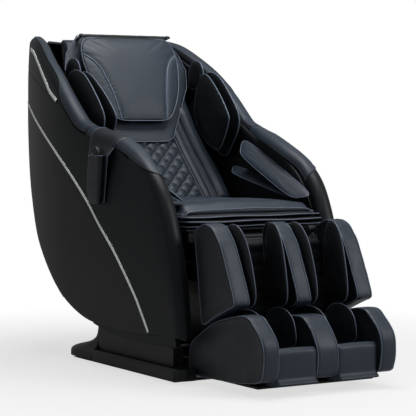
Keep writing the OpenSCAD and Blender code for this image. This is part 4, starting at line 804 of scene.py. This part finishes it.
PILLOW_FOOT, PILLOW_HEAD = Vector((0, 405, 864)), Vector((0, 531, 1128))
PILLOW_RISE = (PILLOW_HEAD - PILLOW_FOOT).normalized()
PILLOW_OUT = Vector((0, -PILLOW_RISE.z, PILLOW_RISE.y))
ROD_R = 4.4
ROD = PILLOW_FOOT + PILLOW_RISE * (334 + ROD_R + 0.8)
half_outline = [(0, -10), (80, -9), (112, 2), (138, 34), (166, 88), (186, 150), (198, 216), (199, 262),
                (191, 300), (168, 326), (110, 333), (0, 334)]
pillow_outline = half_outline + [(-x, v) for x, v in half_outline[-2:0:-1]]
half_seam = [(197, 262), (168, 237), (143, 199), (127, 150), (113, 95), (104, 45), (94, -9)]


def looped(points, t):
    """Point on the smooth closed curve through points, t from 0 to 1."""
    s = (t % 1) * len(points)
    return spline(*(Vector(points[(int(s) + k) % len(points)]) for k in (-1, 0, 1, 2)), s - int(s))


def ring_of(outline, count):
    """Evenly spaced points of a closed curve."""
    return [looped(outline, i / count) for i in range(count)]


def middle_of(outline):
    return sum((Vector(p) for p in outline), Vector((0, 0))) / len(outline)


def stuffed(outline, put, thickness, around=96, steps=14, flat=3.0, edge=1.35, middle=None):
    """Closed pad: drawn from its seam to both faces; put(point, height) places it."""
    centre = Vector(middle) if middle else middle_of(outline)
    rim = ring_of(outline, around)
    rings = []
    for k in range(-steps, steps + 1):
        a = pi / 2 * k / steps
        share = cos(a) ** (2 / flat) if abs(k) < steps else 0.0
        height = copysign(abs(sin(a)) ** (2 / edge), k) * thickness / 2
        rings.append([put(centre + (p - centre) * share, height) for p in rim])
    return lofted(rings)


def pillow_place(p, height):
    return (PILLOW_FOOT + PILLOW_RISE * p[1] + PILLOW_OUT * height + Vector((p[0], 0, 0))) * MM


def puffed(form, seams):
    """Fills a closed cover: it is remeshed, blown up as cloth held at its seams, and smoothed.
    """
    voxel, most, held, frames = 5.0 * MM, 6.0 * MM, 5.0 * MM, 20
    rough = bpy.data.meshes.new("cover")
    form.to_mesh(rough)
    form.free()
    cover = placed("cover", rough)
    even = cover.modifiers.new("even", "REMESH")
    even.mode, even.voxel_size = "VOXEL", voxel
    mesh = evaluated(cover)
    bpy.data.objects.remove(cover)
    near = mathutils.kdtree.KDTree(len(seams))
    for i, p in enumerate(seams):
        near.insert(p, i)
    near.balance()
    start = [v.co.copy() for v in mesh.vertices]
    sewn = placed("sewn_cover", mesh)
    group = sewn.vertex_groups.new(name="seams")
    group.add([i for i, p in enumerate(start) if near.find(p)[2] < held], 1.0, "REPLACE")
    cloth = sewn.modifiers.new("cloth", "CLOTH")
    cloth.settings.vertex_group_mass = "seams"
    cloth.settings.use_pressure = True
    cloth.settings.uniform_pressure_force = 4.0
    cloth.settings.effector_weights.gravity = 0
    cloth.settings.quality = 4
    cloth.point_cache.frame_start, cloth.point_cache.frame_end = 1, frames
    for step in range(1, frames + 1):
        bpy.context.scene.frame_set(step)
    mesh = evaluated(sewn)
    bpy.data.objects.remove(sewn)
    bpy.context.scene.frame_set(1)
    for mark, before in zip(mesh.vertices, start):
        move = mark.co - before
        if move.length > most:
            mark.co = before + move * (most / move.length)
    full = bmesh.new()
    full.from_mesh(mesh)
    bmesh.ops.smooth_vert(full, verts=full.verts, factor=0.5, use_axis_x=True, use_axis_y=True,
                          use_axis_z=True)
    return full


pillow_rim = [pillow_place(p, 0) for p in ring_of(pillow_outline, 160)]
form = puffed(stuffed(pillow_outline, pillow_place, 40, flat=4.2, edge=1.5), pillow_rim)
seam_marks = []
for side in (-1, 1):
    seam_marks.append([Vector((side * p.x, p.y)) for p in (curve(half_seam, t) for t in spread(60))])
for v in form.verts:
    flat_place = (v.co / MM) - PILLOW_FOOT
    if flat_place.dot(PILLOW_OUT) < 4:
        continue
    here = Vector((flat_place.x, flat_place.dot(PILLOW_RISE)))
    away = min((here - m).length for line in seam_marks for m in line[::3])
    v.co -= PILLOW_OUT * MM * 4.0 * exp(-((away / 11) ** 2))
pillow = piece("head_pillow_soft", form, upholstery, "head_pillow", body="pillow", modifiers=rounding,
               fill=0.7)
steel_rod = bmesh.new()
bmesh.ops.create_cone(steel_rod, cap_ends=True, segments=32, radius1=ROD_R * MM, radius2=ROD_R * MM,
                      depth=0.388)
for v in steel_rod.verts:
    v.co = Vector((v.co.z, v.co.y, v.co.x)) + ROD * MM
steel_rod.normal_update()
bmesh.ops.recalc_face_normals(steel_rod, faces=steel_rod.faces)
piece("pillow_hem_rod", steel_rod, powder_coat, body="pillow",
      modifiers=[("BEVEL", {"width": 0.0008, "segments": 2})])
hem_wrap = []
for x in spread(24, -168, 168):
    heart, radius = ROD + Vector((x, 0, 0)), 5.6 + 0.2 * sin(x / 9)
    ring = []
    for a in spread(16, 0.0, 2 * pi)[:-1]:
        ring.append((heart + (PILLOW_OUT * cos(a) + PILLOW_RISE * sin(a)) * radius) * MM)
    # two points are drawn down to meet the pillow
    ring[12] = (heart + PILLOW_OUT * 1.5 - PILLOW_RISE * 11) * MM
    ring[13] = (heart - PILLOW_OUT * 1.5 - PILLOW_RISE * 11) * MM
    hem_wrap.append(ring)
piece("pillow_top_hem", lofted(drawn_in(hem_wrap)), dark_upholstery, body="pillow", fill=0.4)


def pillow_rows(offset, lift):
    """Both curved seams of the pillow, or rows beside them, laid on its cover."""
    rows = []
    for line in seam_marks:
        laid = []
        for a, b in zip(line, line[1:]):
            across = Vector((-(b - a).y, (b - a).x)).normalized() * offset
            laid.append(over(pillow, pillow_place(a + across, 80), -PILLOW_OUT, lift))
        rows.append([p for p in laid if p is not None])
    return rows


cord_piping("pillow_ribs", pillow_rows(0, 0.6), 3.0, body="pillow")
stitching("pillow_stitching", pillow_rows(-7, 0.3) + pillow_rows(7, 0.3), "pillow", radius=0.7)
cord_piping("pillow_edge_piping", [pillow_rim], 2.0, body="pillow", closed=True)


# ---- Shoulder and arm airbags ----
# Flat bladders in leather covers stand either side of the shoulders and hang from the
# armrests and beside the seat. Each is two panels sewn over a corded edge.
def free_pad(name, outline, origin, across, up, thickness, material, *replaced, body="chair_body",
             flat=3.2, edge=1.6):
    """A thin pad in the plane of across and up; gives the line of its corded edge."""
    origin, across, up = Vector(origin), Vector(across), Vector(up)
    out = across.cross(up).normalized()

    def put(p, height):
        pucker = 0.9 * sin(0.21 * p.x + 0.17 * p.y) * abs(height) / thickness
        return (origin + across * p[0] + up * p[1] + out * (height + pucker)) * MM

    form = stuffed(outline, put, thickness, around=72, steps=9, flat=flat, edge=edge)
    piece(name, form, material, *replaced, body=body, fill=0.55)
    return [put(p, 0) for p in ring_of(outline, 100)]


def leaning(angle, side=1):
    """Forward direction, leaning away from the chair's middle."""
    a = radians(angle)
    return (-side * sin(a), -cos(a), 0)


def leaf(length, width):
    return [(0, 6), (4, width * 0.7), (length * 0.12, width), (length * 0.5, width * 1.04),
            (length * 0.86, width * 0.96), (length * 0.98, width * 0.62), (length, 4), (length * 0.5, 0)]


UP = (0, 0, 1)
shoulder_inner = [(-6, 40), (-14, 120), (17.2, 196), (60.2, 214), (111.8, 196), (197.8, 130), (258, 66),
                  (263.16, 36), (232.2, -20), (185.76, -66), (120.4, -54), (51.6, -20)]
shoulder_outer = [(-6, 40), (-20, 130), (8.6, 206), (60.2, 226), (129, 206), (206.4, 140), (266.6, 70),
                  (268.32, 20), (236.5, -32), (182.32, -84), (111.8, -66), (43, -20)]
shoulder_arch = [(0, 0), (-4, 52), (14, 84), (48, 96), (84, 84), (104, 52), (104, 0), (50, -10)]
for side, hand in SIDES:
    rims = []
    for part, outline, (x, y, z), lean, thick in (("inner", shoulder_inner, (256.8, 452, 815), 5, 25),
                                                  ("outer", shoulder_outer, (284.5, 462, 810), 1, 19),
                                                  ("arch", shoulder_arch, (262, 516, 985), 1, 20)):
        replaced = [] if part == "arch" else [f"shoulder_airbags_{hand}"]
        rims.append(free_pad(f"shoulder_pad_{part}_{hand}", outline, (side * x, y, z), leaning(lean, side),
                             UP, thick, dark_upholstery, *replaced))
    cord_piping(f"shoulder_pad_piping_{hand}", rims, 2.4, closed=True)

    # each flap hangs from one point to another: (inset from the shell there, and its own y and z)
    rims = []
    for part, inset, rear, front, width, hang, thick in (
            ("upper", 74.8, ((150, 770), 150, 782), ((-280, 600), -276, 612), 64, (-0.78, -0.62), 17),
            ("lower", 67, ((220, 680), 236, 686), ((-280, 590), -255, 601), 52, (-0.93, -0.37), 15)):
        a, b = (Vector((side * (shell_half(*near) - inset), y, z)) for near, y, z in (rear, front))
        rims.append(free_pad(f"arm_flap_{part}_{hand}", leaf((b - a).length, width), a, (b - a).normalized(),
                             Vector((side * hang[0], 0, hang[1])).normalized(), thick, upholstery,
                             f"arm_airbags_{hand}"))
    cord_piping(f"arm_flap_piping_{hand}", rims, 1.8, closed=True)

# ---- Seat ----
# A sewn seat cushion of foam under leather lies on three flat airbag layers, which step out
# under its front edge. A cord edges each of them in front, and a twin seam crosses the cushion.
inner_half = shell_half(-300, 560) - 2 * EDGE_R - 0.5
leg_half = inner_half - 8
seat_half = leg_half - 8
SEAM_V, SEAM_ALLOWANCE = 0.36, 0.018


def seat_top(u, v):
    x = (2 * u - 1) * seat_half
    y = -314 + 528 * v
    f = abs(2 * u - 1)
    side_roll = 20 * eased((f - 0.86) / 0.14) ** 2
    front_roll = 18 * eased((0.09 - v) / 0.09) ** 2 + 18 * eased((v - 0.965) / 0.035) ** 2
    swell = 10 * (cos(f * pi / 2) ** 0.7) + 5 * sin(pi * min(v * 1.4, 1))
    seam = 3.5 * exp(-(((v - SEAM_V) / 0.010) ** 2)) * (f < 0.9)
    fold = 1.6 * sin(x / 41 + 2.4 * v) * sin(y / 33 + x / 160) * (1 - f * f)
    tuck = 1.8 * exp(-(((v - 0.10) / 0.05) ** 2)) * sin(x / 19) * (0.4 + f)
    return at(x, y, 571 + swell - seam + fold + tuck - side_roll - front_roll)


cushion_form = surface(120, 90, seat_top)
walled(cushion_form, lambda p: Vector((p.x, p.y, 0.550)))
# in front the underside lies on the airbag layers, and behind them on the pan
walled(cushion_form, lambda p: Vector((p.x * 0.992, p.y * 0.992, 0.5465 if p.y * 0.992 < -0.08 else 0.503)))
seat = piece("seat_cushion_soft", closed_up(cushion_form), upholstery, "seat_cushion", fill=0.75)
top_edge = [seat_top(0.0, v) for v in spread(40, 1, 0)] + [seat_top(u, 0) for u in spread(60)[1:-1]]
top_edge += [seat_top(1.0, v) for v in spread(40)]
layer_edges = [[p + Vector((0, 0, -0.001)) for p in top_edge]]
LAYER_BACK, LAYER_PITCH = -92, 15.4
layer_half = seat_half + 2
for i, front in enumerate((-366, -372, -360)):
    corner = [(-layer_half, y) for y in (LAYER_BACK, -200, front + 40)]
    corner += [(14 - layer_half, front + 8), (-layer_half * 0.6, front)]
    line = corner + [(0, front + 2)] + [(-x, y) for x, y in corner[::-1]] + [(0, LAYER_BACK)]
    level = 500.4 + (i + 0.5) * LAYER_PITCH

    def put(p, height, level=level, i=i):
        wave = 1.1 * sin(p[0] / 43 + i * 1.7) * eased((-300 - p[1]) / 60)
        return at(p[0], min(p[1], LAYER_BACK), level + height + wave)

    layer = stuffed(line, put, 14.6, around=140, steps=7, flat=9.0, edge=1.8, middle=(0, -215))
    piece(f"seat_airbag_layer_{i + 1}", layer, dark_upholstery, "seat_airbags", fill=0.5)
    front_edge = [p for p in (put(q, 0) for q in ring_of(line, 160)) if p.y < -0.12]
    layer_edges.append(sorted(front_edge, key=lambda p: atan2(p.x, -(p.y + 0.1))))
cord_piping("seat_edge_piping", layer_edges, 1.9)
above, down = Vector((0, 0, 0.1)), (0, 0, -1)
rows = [[over(seat, seat_top(u, SEAM_V + o) + above, down, 0.4) for u in spread(60, 0.06, 0.94)]
        for o in (-SEAM_ALLOWANCE, SEAM_ALLOWANCE)]
stitching("seat_stitching", rows)


# ---- Calf rest ----
# Two foam troughs for the calves: three upright boxed cushions of leather joined by a padded
# back, with an airbag pad on each trough wall. Their front strips are twin-needle stitched.
def boxed(outline, put, thickness, corner, around):
    """Closed boxed cushion: two crowned faces, rounded seams and a strip between them."""
    crown, dish, faces, arcs, strip = 3.0, 1.2, 7, 5, 4
    centre, half = middle_of(outline), thickness / 2
    rim = [p - centre for p in ring_of(outline, around)]

    def face_ring(sign, share):
        lift = sign * (half - 0.2 + crown * (1 - share**2) ** 0.8 - crown * 0.5)
        return [put(centre + ray * (share * (1 - corner / ray.length)), lift) for ray in rim]

    def edge_ring(inset, lift):
        return [put(centre + ray * (1 - max(inset, 0) / ray.length), lift) for ray in rim]

    shares = spread(faces)
    bends = [(corner * (1 - sin(a)), half - corner * (1 - cos(a))) for a in spread(arcs, 0.0, pi / 2)[1:]]
    rings = [face_ring(1, share) for share in shares] + [edge_ring(*bend) for bend in bends]
    for f in spread(strip)[1:-1]:
        rings.append(edge_ring(dish * sin(pi * f) - dish, (half - corner) * (1 - 2 * f)))
    rings += [edge_ring(inset, -lift) for inset, lift in bends[::-1]]
    return lofted(rings + [face_ring(-1, share) for share in shares[::-1]])


def corded_edges(outline, put, thickness, corner, steps=150):
    """Lines of the two seams of a boxed cushion."""
    inset = corner * (1 - sin(pi / 4)) - 0.8
    centre = middle_of(outline)
    rim = [p - centre for p in ring_of(outline, steps)]
    high = thickness / 2 - inset - 0.2
    return [[put(centre + ray * (1 - inset / ray.length), lift) for ray in rim] for lift in (-high, high)]


# The cushions' flat sides get a blacker, slightly smoother copy of the leather: painted shade on the faces
# that turn sideways.
painted_shade_leather = leather("black_pu_leather_painted_shade", "#11151a", 0.46)


def boxed_cushions(part, cushions, corner, around, waves, stitched, aim, cord):
    """The three boxed cushions of the calf or foot rest, with their cords and stitching.

    stitched is a stretch of the outline, counted in its points. aim is where the rows are
    looked for from, as y and z off the outline, and in which direction.
    """
    body, seams, threads = f"{part}_rest", [], []
    back, up, direction = aim
    for hand, outline, x, thick in cushions:
        def put(p, height, x=x):
            pucker = 0.8 * sin(p[1] / waves[0]) * sin(p[0] / waves[1]) * (abs(height) / 30)
            return at(x + height + copysign(pucker, height), p[0], p[1])

        made = piece(f"{part}_cushion_{hand}", boxed(outline, put, thick, corner, around), upholstery,
                     f"{part}_wall_{hand}", body=body, fill=0.8)
        # faces that turn sideways take the blacker copy of the leather, as painted shade
        made.data.materials.append(painted_shade_leather)
        for face in made.data.polygons:
            face.material_index = int(abs(face.normal.x) > 0.75)
        seams += corded_edges(outline, put, thick, corner)
        for across in (17 - thick / 2, thick / 2 - 17):
            spots = [looped(outline, s / len(outline)) for s in spread(89, *stitched)]
            starts = [at(x + across, p.x + back, p.y + up) for p in spots]
            threads.append([over(made, start, direction, 0.4) for start in starts])
    cord_piping(f"{part}_cushion_piping", seams, cord, body=body, closed=True)
    stitching(f"{part}_cushion_stitching", threads, body, radius=0.7)


wall_outline = [(-404, 480), (-406, 503), (-436, 518), (-467, 526), (-508, 515), (-538, 488), (-566, 452),
                (-612, 358), (-640, 290), (-632, 272), (-605, 262), (-520, 228), (-452, 200), (-440, 240),
                (-424, 330), (-409, 430)]
centre_outline = [(-434, 496), (-465, 524), (-508, 515), (-538, 488), (-566, 452), (-612, 358), (-638, 290),
                  (-628, 270), (-600, 258), (-530, 236), (-476, 222), (-466.6, 240), (-453.4, 330),
                  (-437.2, 440)]
calf_x = leg_half - 31.5
boxed_cushions("calf", (("left", wall_outline, -calf_x, 61), ("centre", centre_outline, 0.0, 56),
                        ("right", wall_outline, calf_x, 61)),
               11, 130, (17, 23), (2.6, 8.6), (-60, 12, (0, 1, -0.2)), 1.7)

CALF_TOP, CALF_HEIGHT, REAR_GAP = 470, 265, 0.6


def calf_frame_y(s):
    """Front of the calf frame at a share of the way down."""
    return -413 - 39 * s


def calf_back_point(u, v):
    s = 1 - v
    rib = 2.2 * abs(sin(pi * 6 * s)) ** 0.6
    y = calf_frame_y(s) - 17.0 - rib + 12 * (1 - eased(min(v, 1 - v) * 10))
    return at((2 * u - 1) * (leg_half - 63.0), y, CALF_TOP - CALF_HEIGHT * s)


back_form = surface(50, 60, calf_back_point)
walled(back_form, lambda p: at(p.x / MM, calf_frame_y((CALF_TOP - p.z / MM) / CALF_HEIGHT) - REAR_GAP,
                               p.z / MM))
piece("calf_back_padding", closed_up(back_form), dark_upholstery, "calf_back", body="calf_rest", fill=0.7)


def four_pads(name, outline, inner, outer, foot, lean, up, thickness, material, replaced, cord, **more):
    """Airbag pads on both sides of both troughs, leaning into them, and their cords."""
    rims = []
    for i, (x, turn) in enumerate(((-outer, lean), (-inner, -lean), (inner, lean), (outer, -lean))):
        rims.append(free_pad(f"{name}_{i + 1}", outline, (x, *foot), leaning(turn, -1), up, thickness,
                             material, replaced, **more))
    cord_piping(f"{name}_piping", rims, cord, body=more["body"], closed=True)


calf_pad = [(0, 9), (-6, 112), (4, 222), (34, 254), (74, 246), (112, 201), (142, 122), (160, 43), (150, 6),
            (112, -8), (60, -6), (16, -4)]
four_pads("calf_airbag", calf_pad, 38, leg_half - 72, (-468, 268), 7, Vector((0, -0.02, 1)).normalized(),
          23, dark_upholstery, "calf_airbags", 1.9, body="calf_rest", flat=3.6, edge=1.7)

# ---- Foot rest ----
# Two foam wells for the feet: three boxed leather cushions, a sole pad with a heel rest in
# each well, and upright leather airbag flaps that close round the ankles.
foot_half = leg_half - 14
foot_outline = [(-345, 64), (-352, 124), (-417, 169), (-499, 212), (-594, 238), (-687, 249), (-735, 222),
                (-778, 179), (-790, 130), (-782, 76), (-757, 50), (-641, 34), (-531, 28.4), (-417, 28.4),
                (-362, 34)]
well_outline = [(-458, 60), (-458, 186), (-510, 214), (-594, 232), (-680, 236), (-724, 208), (-757, 168),
                (-772, 130), (-770, 76), (-748, 48), (-641, 34), (-560, 29.4), (-508, 29), (-474, 34)]
foot_x = foot_half - 31
boxed_cushions("foot", (("left", foot_outline, -foot_x, 60), ("centre", well_outline, 0.0, 82),
                        ("right", foot_outline, foot_x, 60)),
               12, 140, (21, 26), (2.4, 7.6), (-20, 40, (0, 0.45, -0.9)), 1.8)

sole_profile = [(-756, 34), (-768, 60), (-771, 128), (-764, 146), (-750, 151), (-732, 143), (-706, 118),
                (-660, 104), (-560, 98), (-500, 104), (-474, 124), (-465, 176), (-459, 184),
                (-453.2, 178), (-453.2, 34)]
near, far = 42.6, foot_half - 62.6


def sole_ring(side, f):
    """Section of a sole pad, f from -1 to 1 across it."""
    x = side * (near + far) / 2 + f * (far - near) / 2
    dip = 6 * (1 - f * f) - 6
    ring = []
    for q in ring_of(sole_profile, 90):
        top = eased((q.y - 60) / 30)
        rib = 1.6 * abs(sin(q.x / 11.5)) * top if -700 < q.x < -500 else 0.0
        ring.append(at(x, q.x + 3 * (abs(f) ** 10), max(q.y - rib + dip * 0.4 * top, 28.1)))
    return ring


for i, side in enumerate((-1, 1)):
    sole = lofted([sole_ring(side, f) for f in spread(20, -1, 1)])
    piece(f"foot_sole_{i + 1}", sole, upholstery, "foot_soles", body="foot_rest", fill=0.8)

flap = [(0, 0), (-4, 56), (18, 94), (66, 112), (128, 110), (176, 84), (196, 36), (188, 4), (120, -14),
        (50, -14)]
# the upright ankle flaps face sideways and take the same blacker copy, as painted shade
four_pads("ankle_flap", flap, 47.1, foot_half - 67.1, (-490, 142), 5, UP, 12.6, painted_shade_leather,
          "ankle_airbags", 1.7, body="foot_rest", flat=3.4, edge=1.6)

# ---- Remote and its holster ----
# The remote slides into a stitched leather pouch. A broad band of the same leather goes
# over the armrest and is doubled back on itself, so that it grips the padding.
holster_leather = leather("holster_pu_leather", "#10141a", 0.46, pebble_mm=1.3, crease=0.35)
pouch_mid, pouch_low, pouch_high = 57.5, 570, 735


def pouch_ring(z, lip=0.0):
    """Rounded flat section of the pouch at a height, fuller in the middle."""
    f = (z - pouch_low) / (pouch_high - pouch_low)
    narrow = 0.80 + 0.14 * eased(f * 1.6) + 0.04 * sin(pi * f)
    middle = pouch_mid + 10 * (1 - f) - 3 * f
    half_y = 47.5 * narrow * (0.90 + 0.10 * eased(f * 14)) + lip
    half_x = (9.6 + 1.0 * sin(pi * min(f, 0.9))) * (0.7 + 0.3 * eased(f * 4)) + lip
    ring = []
    for a in spread(56, 0.0, 2 * pi)[:-1]:
        c, s = cos(a), sin(a)
        ring.append(at(-386 + half_x * copysign(abs(c) ** 0.62, c),
                       middle + half_y * copysign(abs(s) ** 0.30, s), z))
    return ring


def pole(ring):
    return [sum(ring, Vector()) / len(ring)] * len(ring)


outside = [570.5, 571.5, 574, 580, 592, 610, 635, 660, 685, 705, 720, 728, 733, 735]
lining = [(735.6, -0.8), (735, -2.2), (728, -2.5), (700, -2.6), (640, -2.6), (590, -3.0)]
walls = [pouch_ring(z) for z in outside] + [pouch_ring(z, lip) for z, lip in lining]
piece("remote_pouch", lofted([pole(walls[0]), *walls, pole(walls[-1])]), holster_leather, "holster")


def band_over(u):
    """Line of the holster band over the armrest at a share of the shell's top line."""
    lift, span = 3.4, 78
    n = normal_of(top_of_main, u)
    c = curve(top_of_main, u) - n * EDGE_R
    outer = -shell_half(c.x, c.y)
    line = []
    for f in spread(7):
        y = 67 + (c.x - pouch_mid) * (0.76 + 0.24 * f) - 10 * f
        line.append(Vector((-374.2 - lift * 0.4, y, 574 + 161 * f)))
    mouth = line[-1]
    for f in spread(6)[1:-1]:
        line.append(mouth.lerp(Vector((outer - lift, c.x, c.y)), eased(f)))
    for f in spread(18, 0.0, pi):
        q = c + n * (EDGE_R + lift + 0.8 * sin(f)) * sin(f) ** 0.92
        line.append(Vector((outer + span / 2 - (span / 2 + lift) * cos(f), q.x, q.y)))
    line.append(Vector((outer + span + lift, c.x, c.y - 6)))
    return [p * MM for p in line]


strap_lines = [band_over(u) for u in spread(14, 0.402, 0.512)]
band_cloth = swept(strap_lines)
bmesh.ops.recalc_face_normals(band_cloth, faces=band_cloth.faces)
piece("holster_band", band_cloth, holster_leather, modifiers=thickened(2.4, 0.0) + rounding)
mouth = [p + Vector((0, 0, 0.0004)) for p in pouch_ring(735)]
cord_piping("holster_edge_binding", [strap_lines[0], strap_lines[-1], mouth], 1.3)
rows = [[p + Vector((-0.0014, 0, 0)) for p in strap_lines[k]][8:] for k in (1, 13)]
stitching("holster_stitching", rows, radius=0.5)


def level_edges(form):
    """The edges that lie in planes facing sideways."""
    return [e for e in form.edges if abs(e.verts[0].co.x - e.verts[1].co.x) < 1e-6]


def softened(form, edges, offset, segments=2):
    bmesh.ops.bevel(form, geom=edges, offset=offset, offset_type="OFFSET", affect="EDGES", segments=segments,
                    profile=0.5, material=-1)


# a flat moulded bar with a round top: two halves, a glass screen and a keypad
handset = bmesh.new()
bmesh.ops.create_circle(handset, cap_ends=True, segments=48, radius=26)
for v in handset.verts:
    y, z = v.co.x, v.co.y
    v.co = at(-379.2, pouch_mid + y, (742 if z > 0 else 600) + z)
drawn = bmesh.ops.extrude_face_region(handset, geom=list(handset.faces))
moved = [g for g in drawn["geom"] if isinstance(g, bmesh.types.BMVert)]
bmesh.ops.translate(handset, verts=moved, vec=(-0.0136, 0, 0))
bmesh.ops.recalc_face_normals(handset, faces=handset.faces)
softened(handset, level_edges(handset), 0.003, 3)
piece("remote_handset", handset, nylon, "remote", body="remote")
# Smoked glass: black, hard and glossy.
glass = coated("smoked_screen_glass", "#0a0d10", 0.12, 4.0, 0.002)
screen = bmesh.new()
bmesh.ops.create_cube(screen, size=1)
for v in screen.verts:
    v.co = at(-393.0 - 0.5 * (v.co.x < 0), pouch_mid + 38 * v.co.y, 718 + 54 * v.co.z)
softened(screen, list(screen.edges), 0.0004)
piece("remote_screen", screen, glass, body="remote")
keys = bmesh.new()
turned = mathutils.Matrix.Rotation(pi / 2, 4, "Y")
for row in range(4):
    for k in (-1, 0, 1):
        spot = mathutils.Matrix.Translation(at(-393.2, pouch_mid + 14 * k, 606 + 20 * row))
        bmesh.ops.create_cone(keys, cap_ends=True, segments=16, radius1=4.2 * MM, radius2=4.2 * MM,
                              depth=1.6 * MM, matrix=spot @ turned)
softened(keys, level_edges(keys), 0.0004)
piece("remote_keys", keys, rubber, body="remote")

# ---- Loops of the pillow rod ----
# Two flat leather straps are sewn to the drape and looped round the ends of the steel rod in
# the pillow's hem, so that the pillow can be turned up and over on it.
LOOP_R, LOOP_FROM, LOOP_WIDTH = 6.0, 176, 14
angles = [radians(a) for a in spread(30, 160, -140)]
run = [on_back(0, share_of(z), -11.5) / MM for z in (1142, 1152)]
run += [ROD + Vector((0, sin(a), cos(a))) * LOOP_R for a in angles]
for side, hand in SIDES:
    widths = spread(4, LOOP_FROM, LOOP_FROM + LOOP_WIDTH)
    form = swept([[at(side * x, p.y, p.z) for p in run] for x in widths])
    bmesh.ops.recalc_face_normals(form, faces=form.faces)
    piece(f"pillow_rod_loop_{hand}", form, upholstery, modifiers=thickened(2.0, 0.0) + rounding)
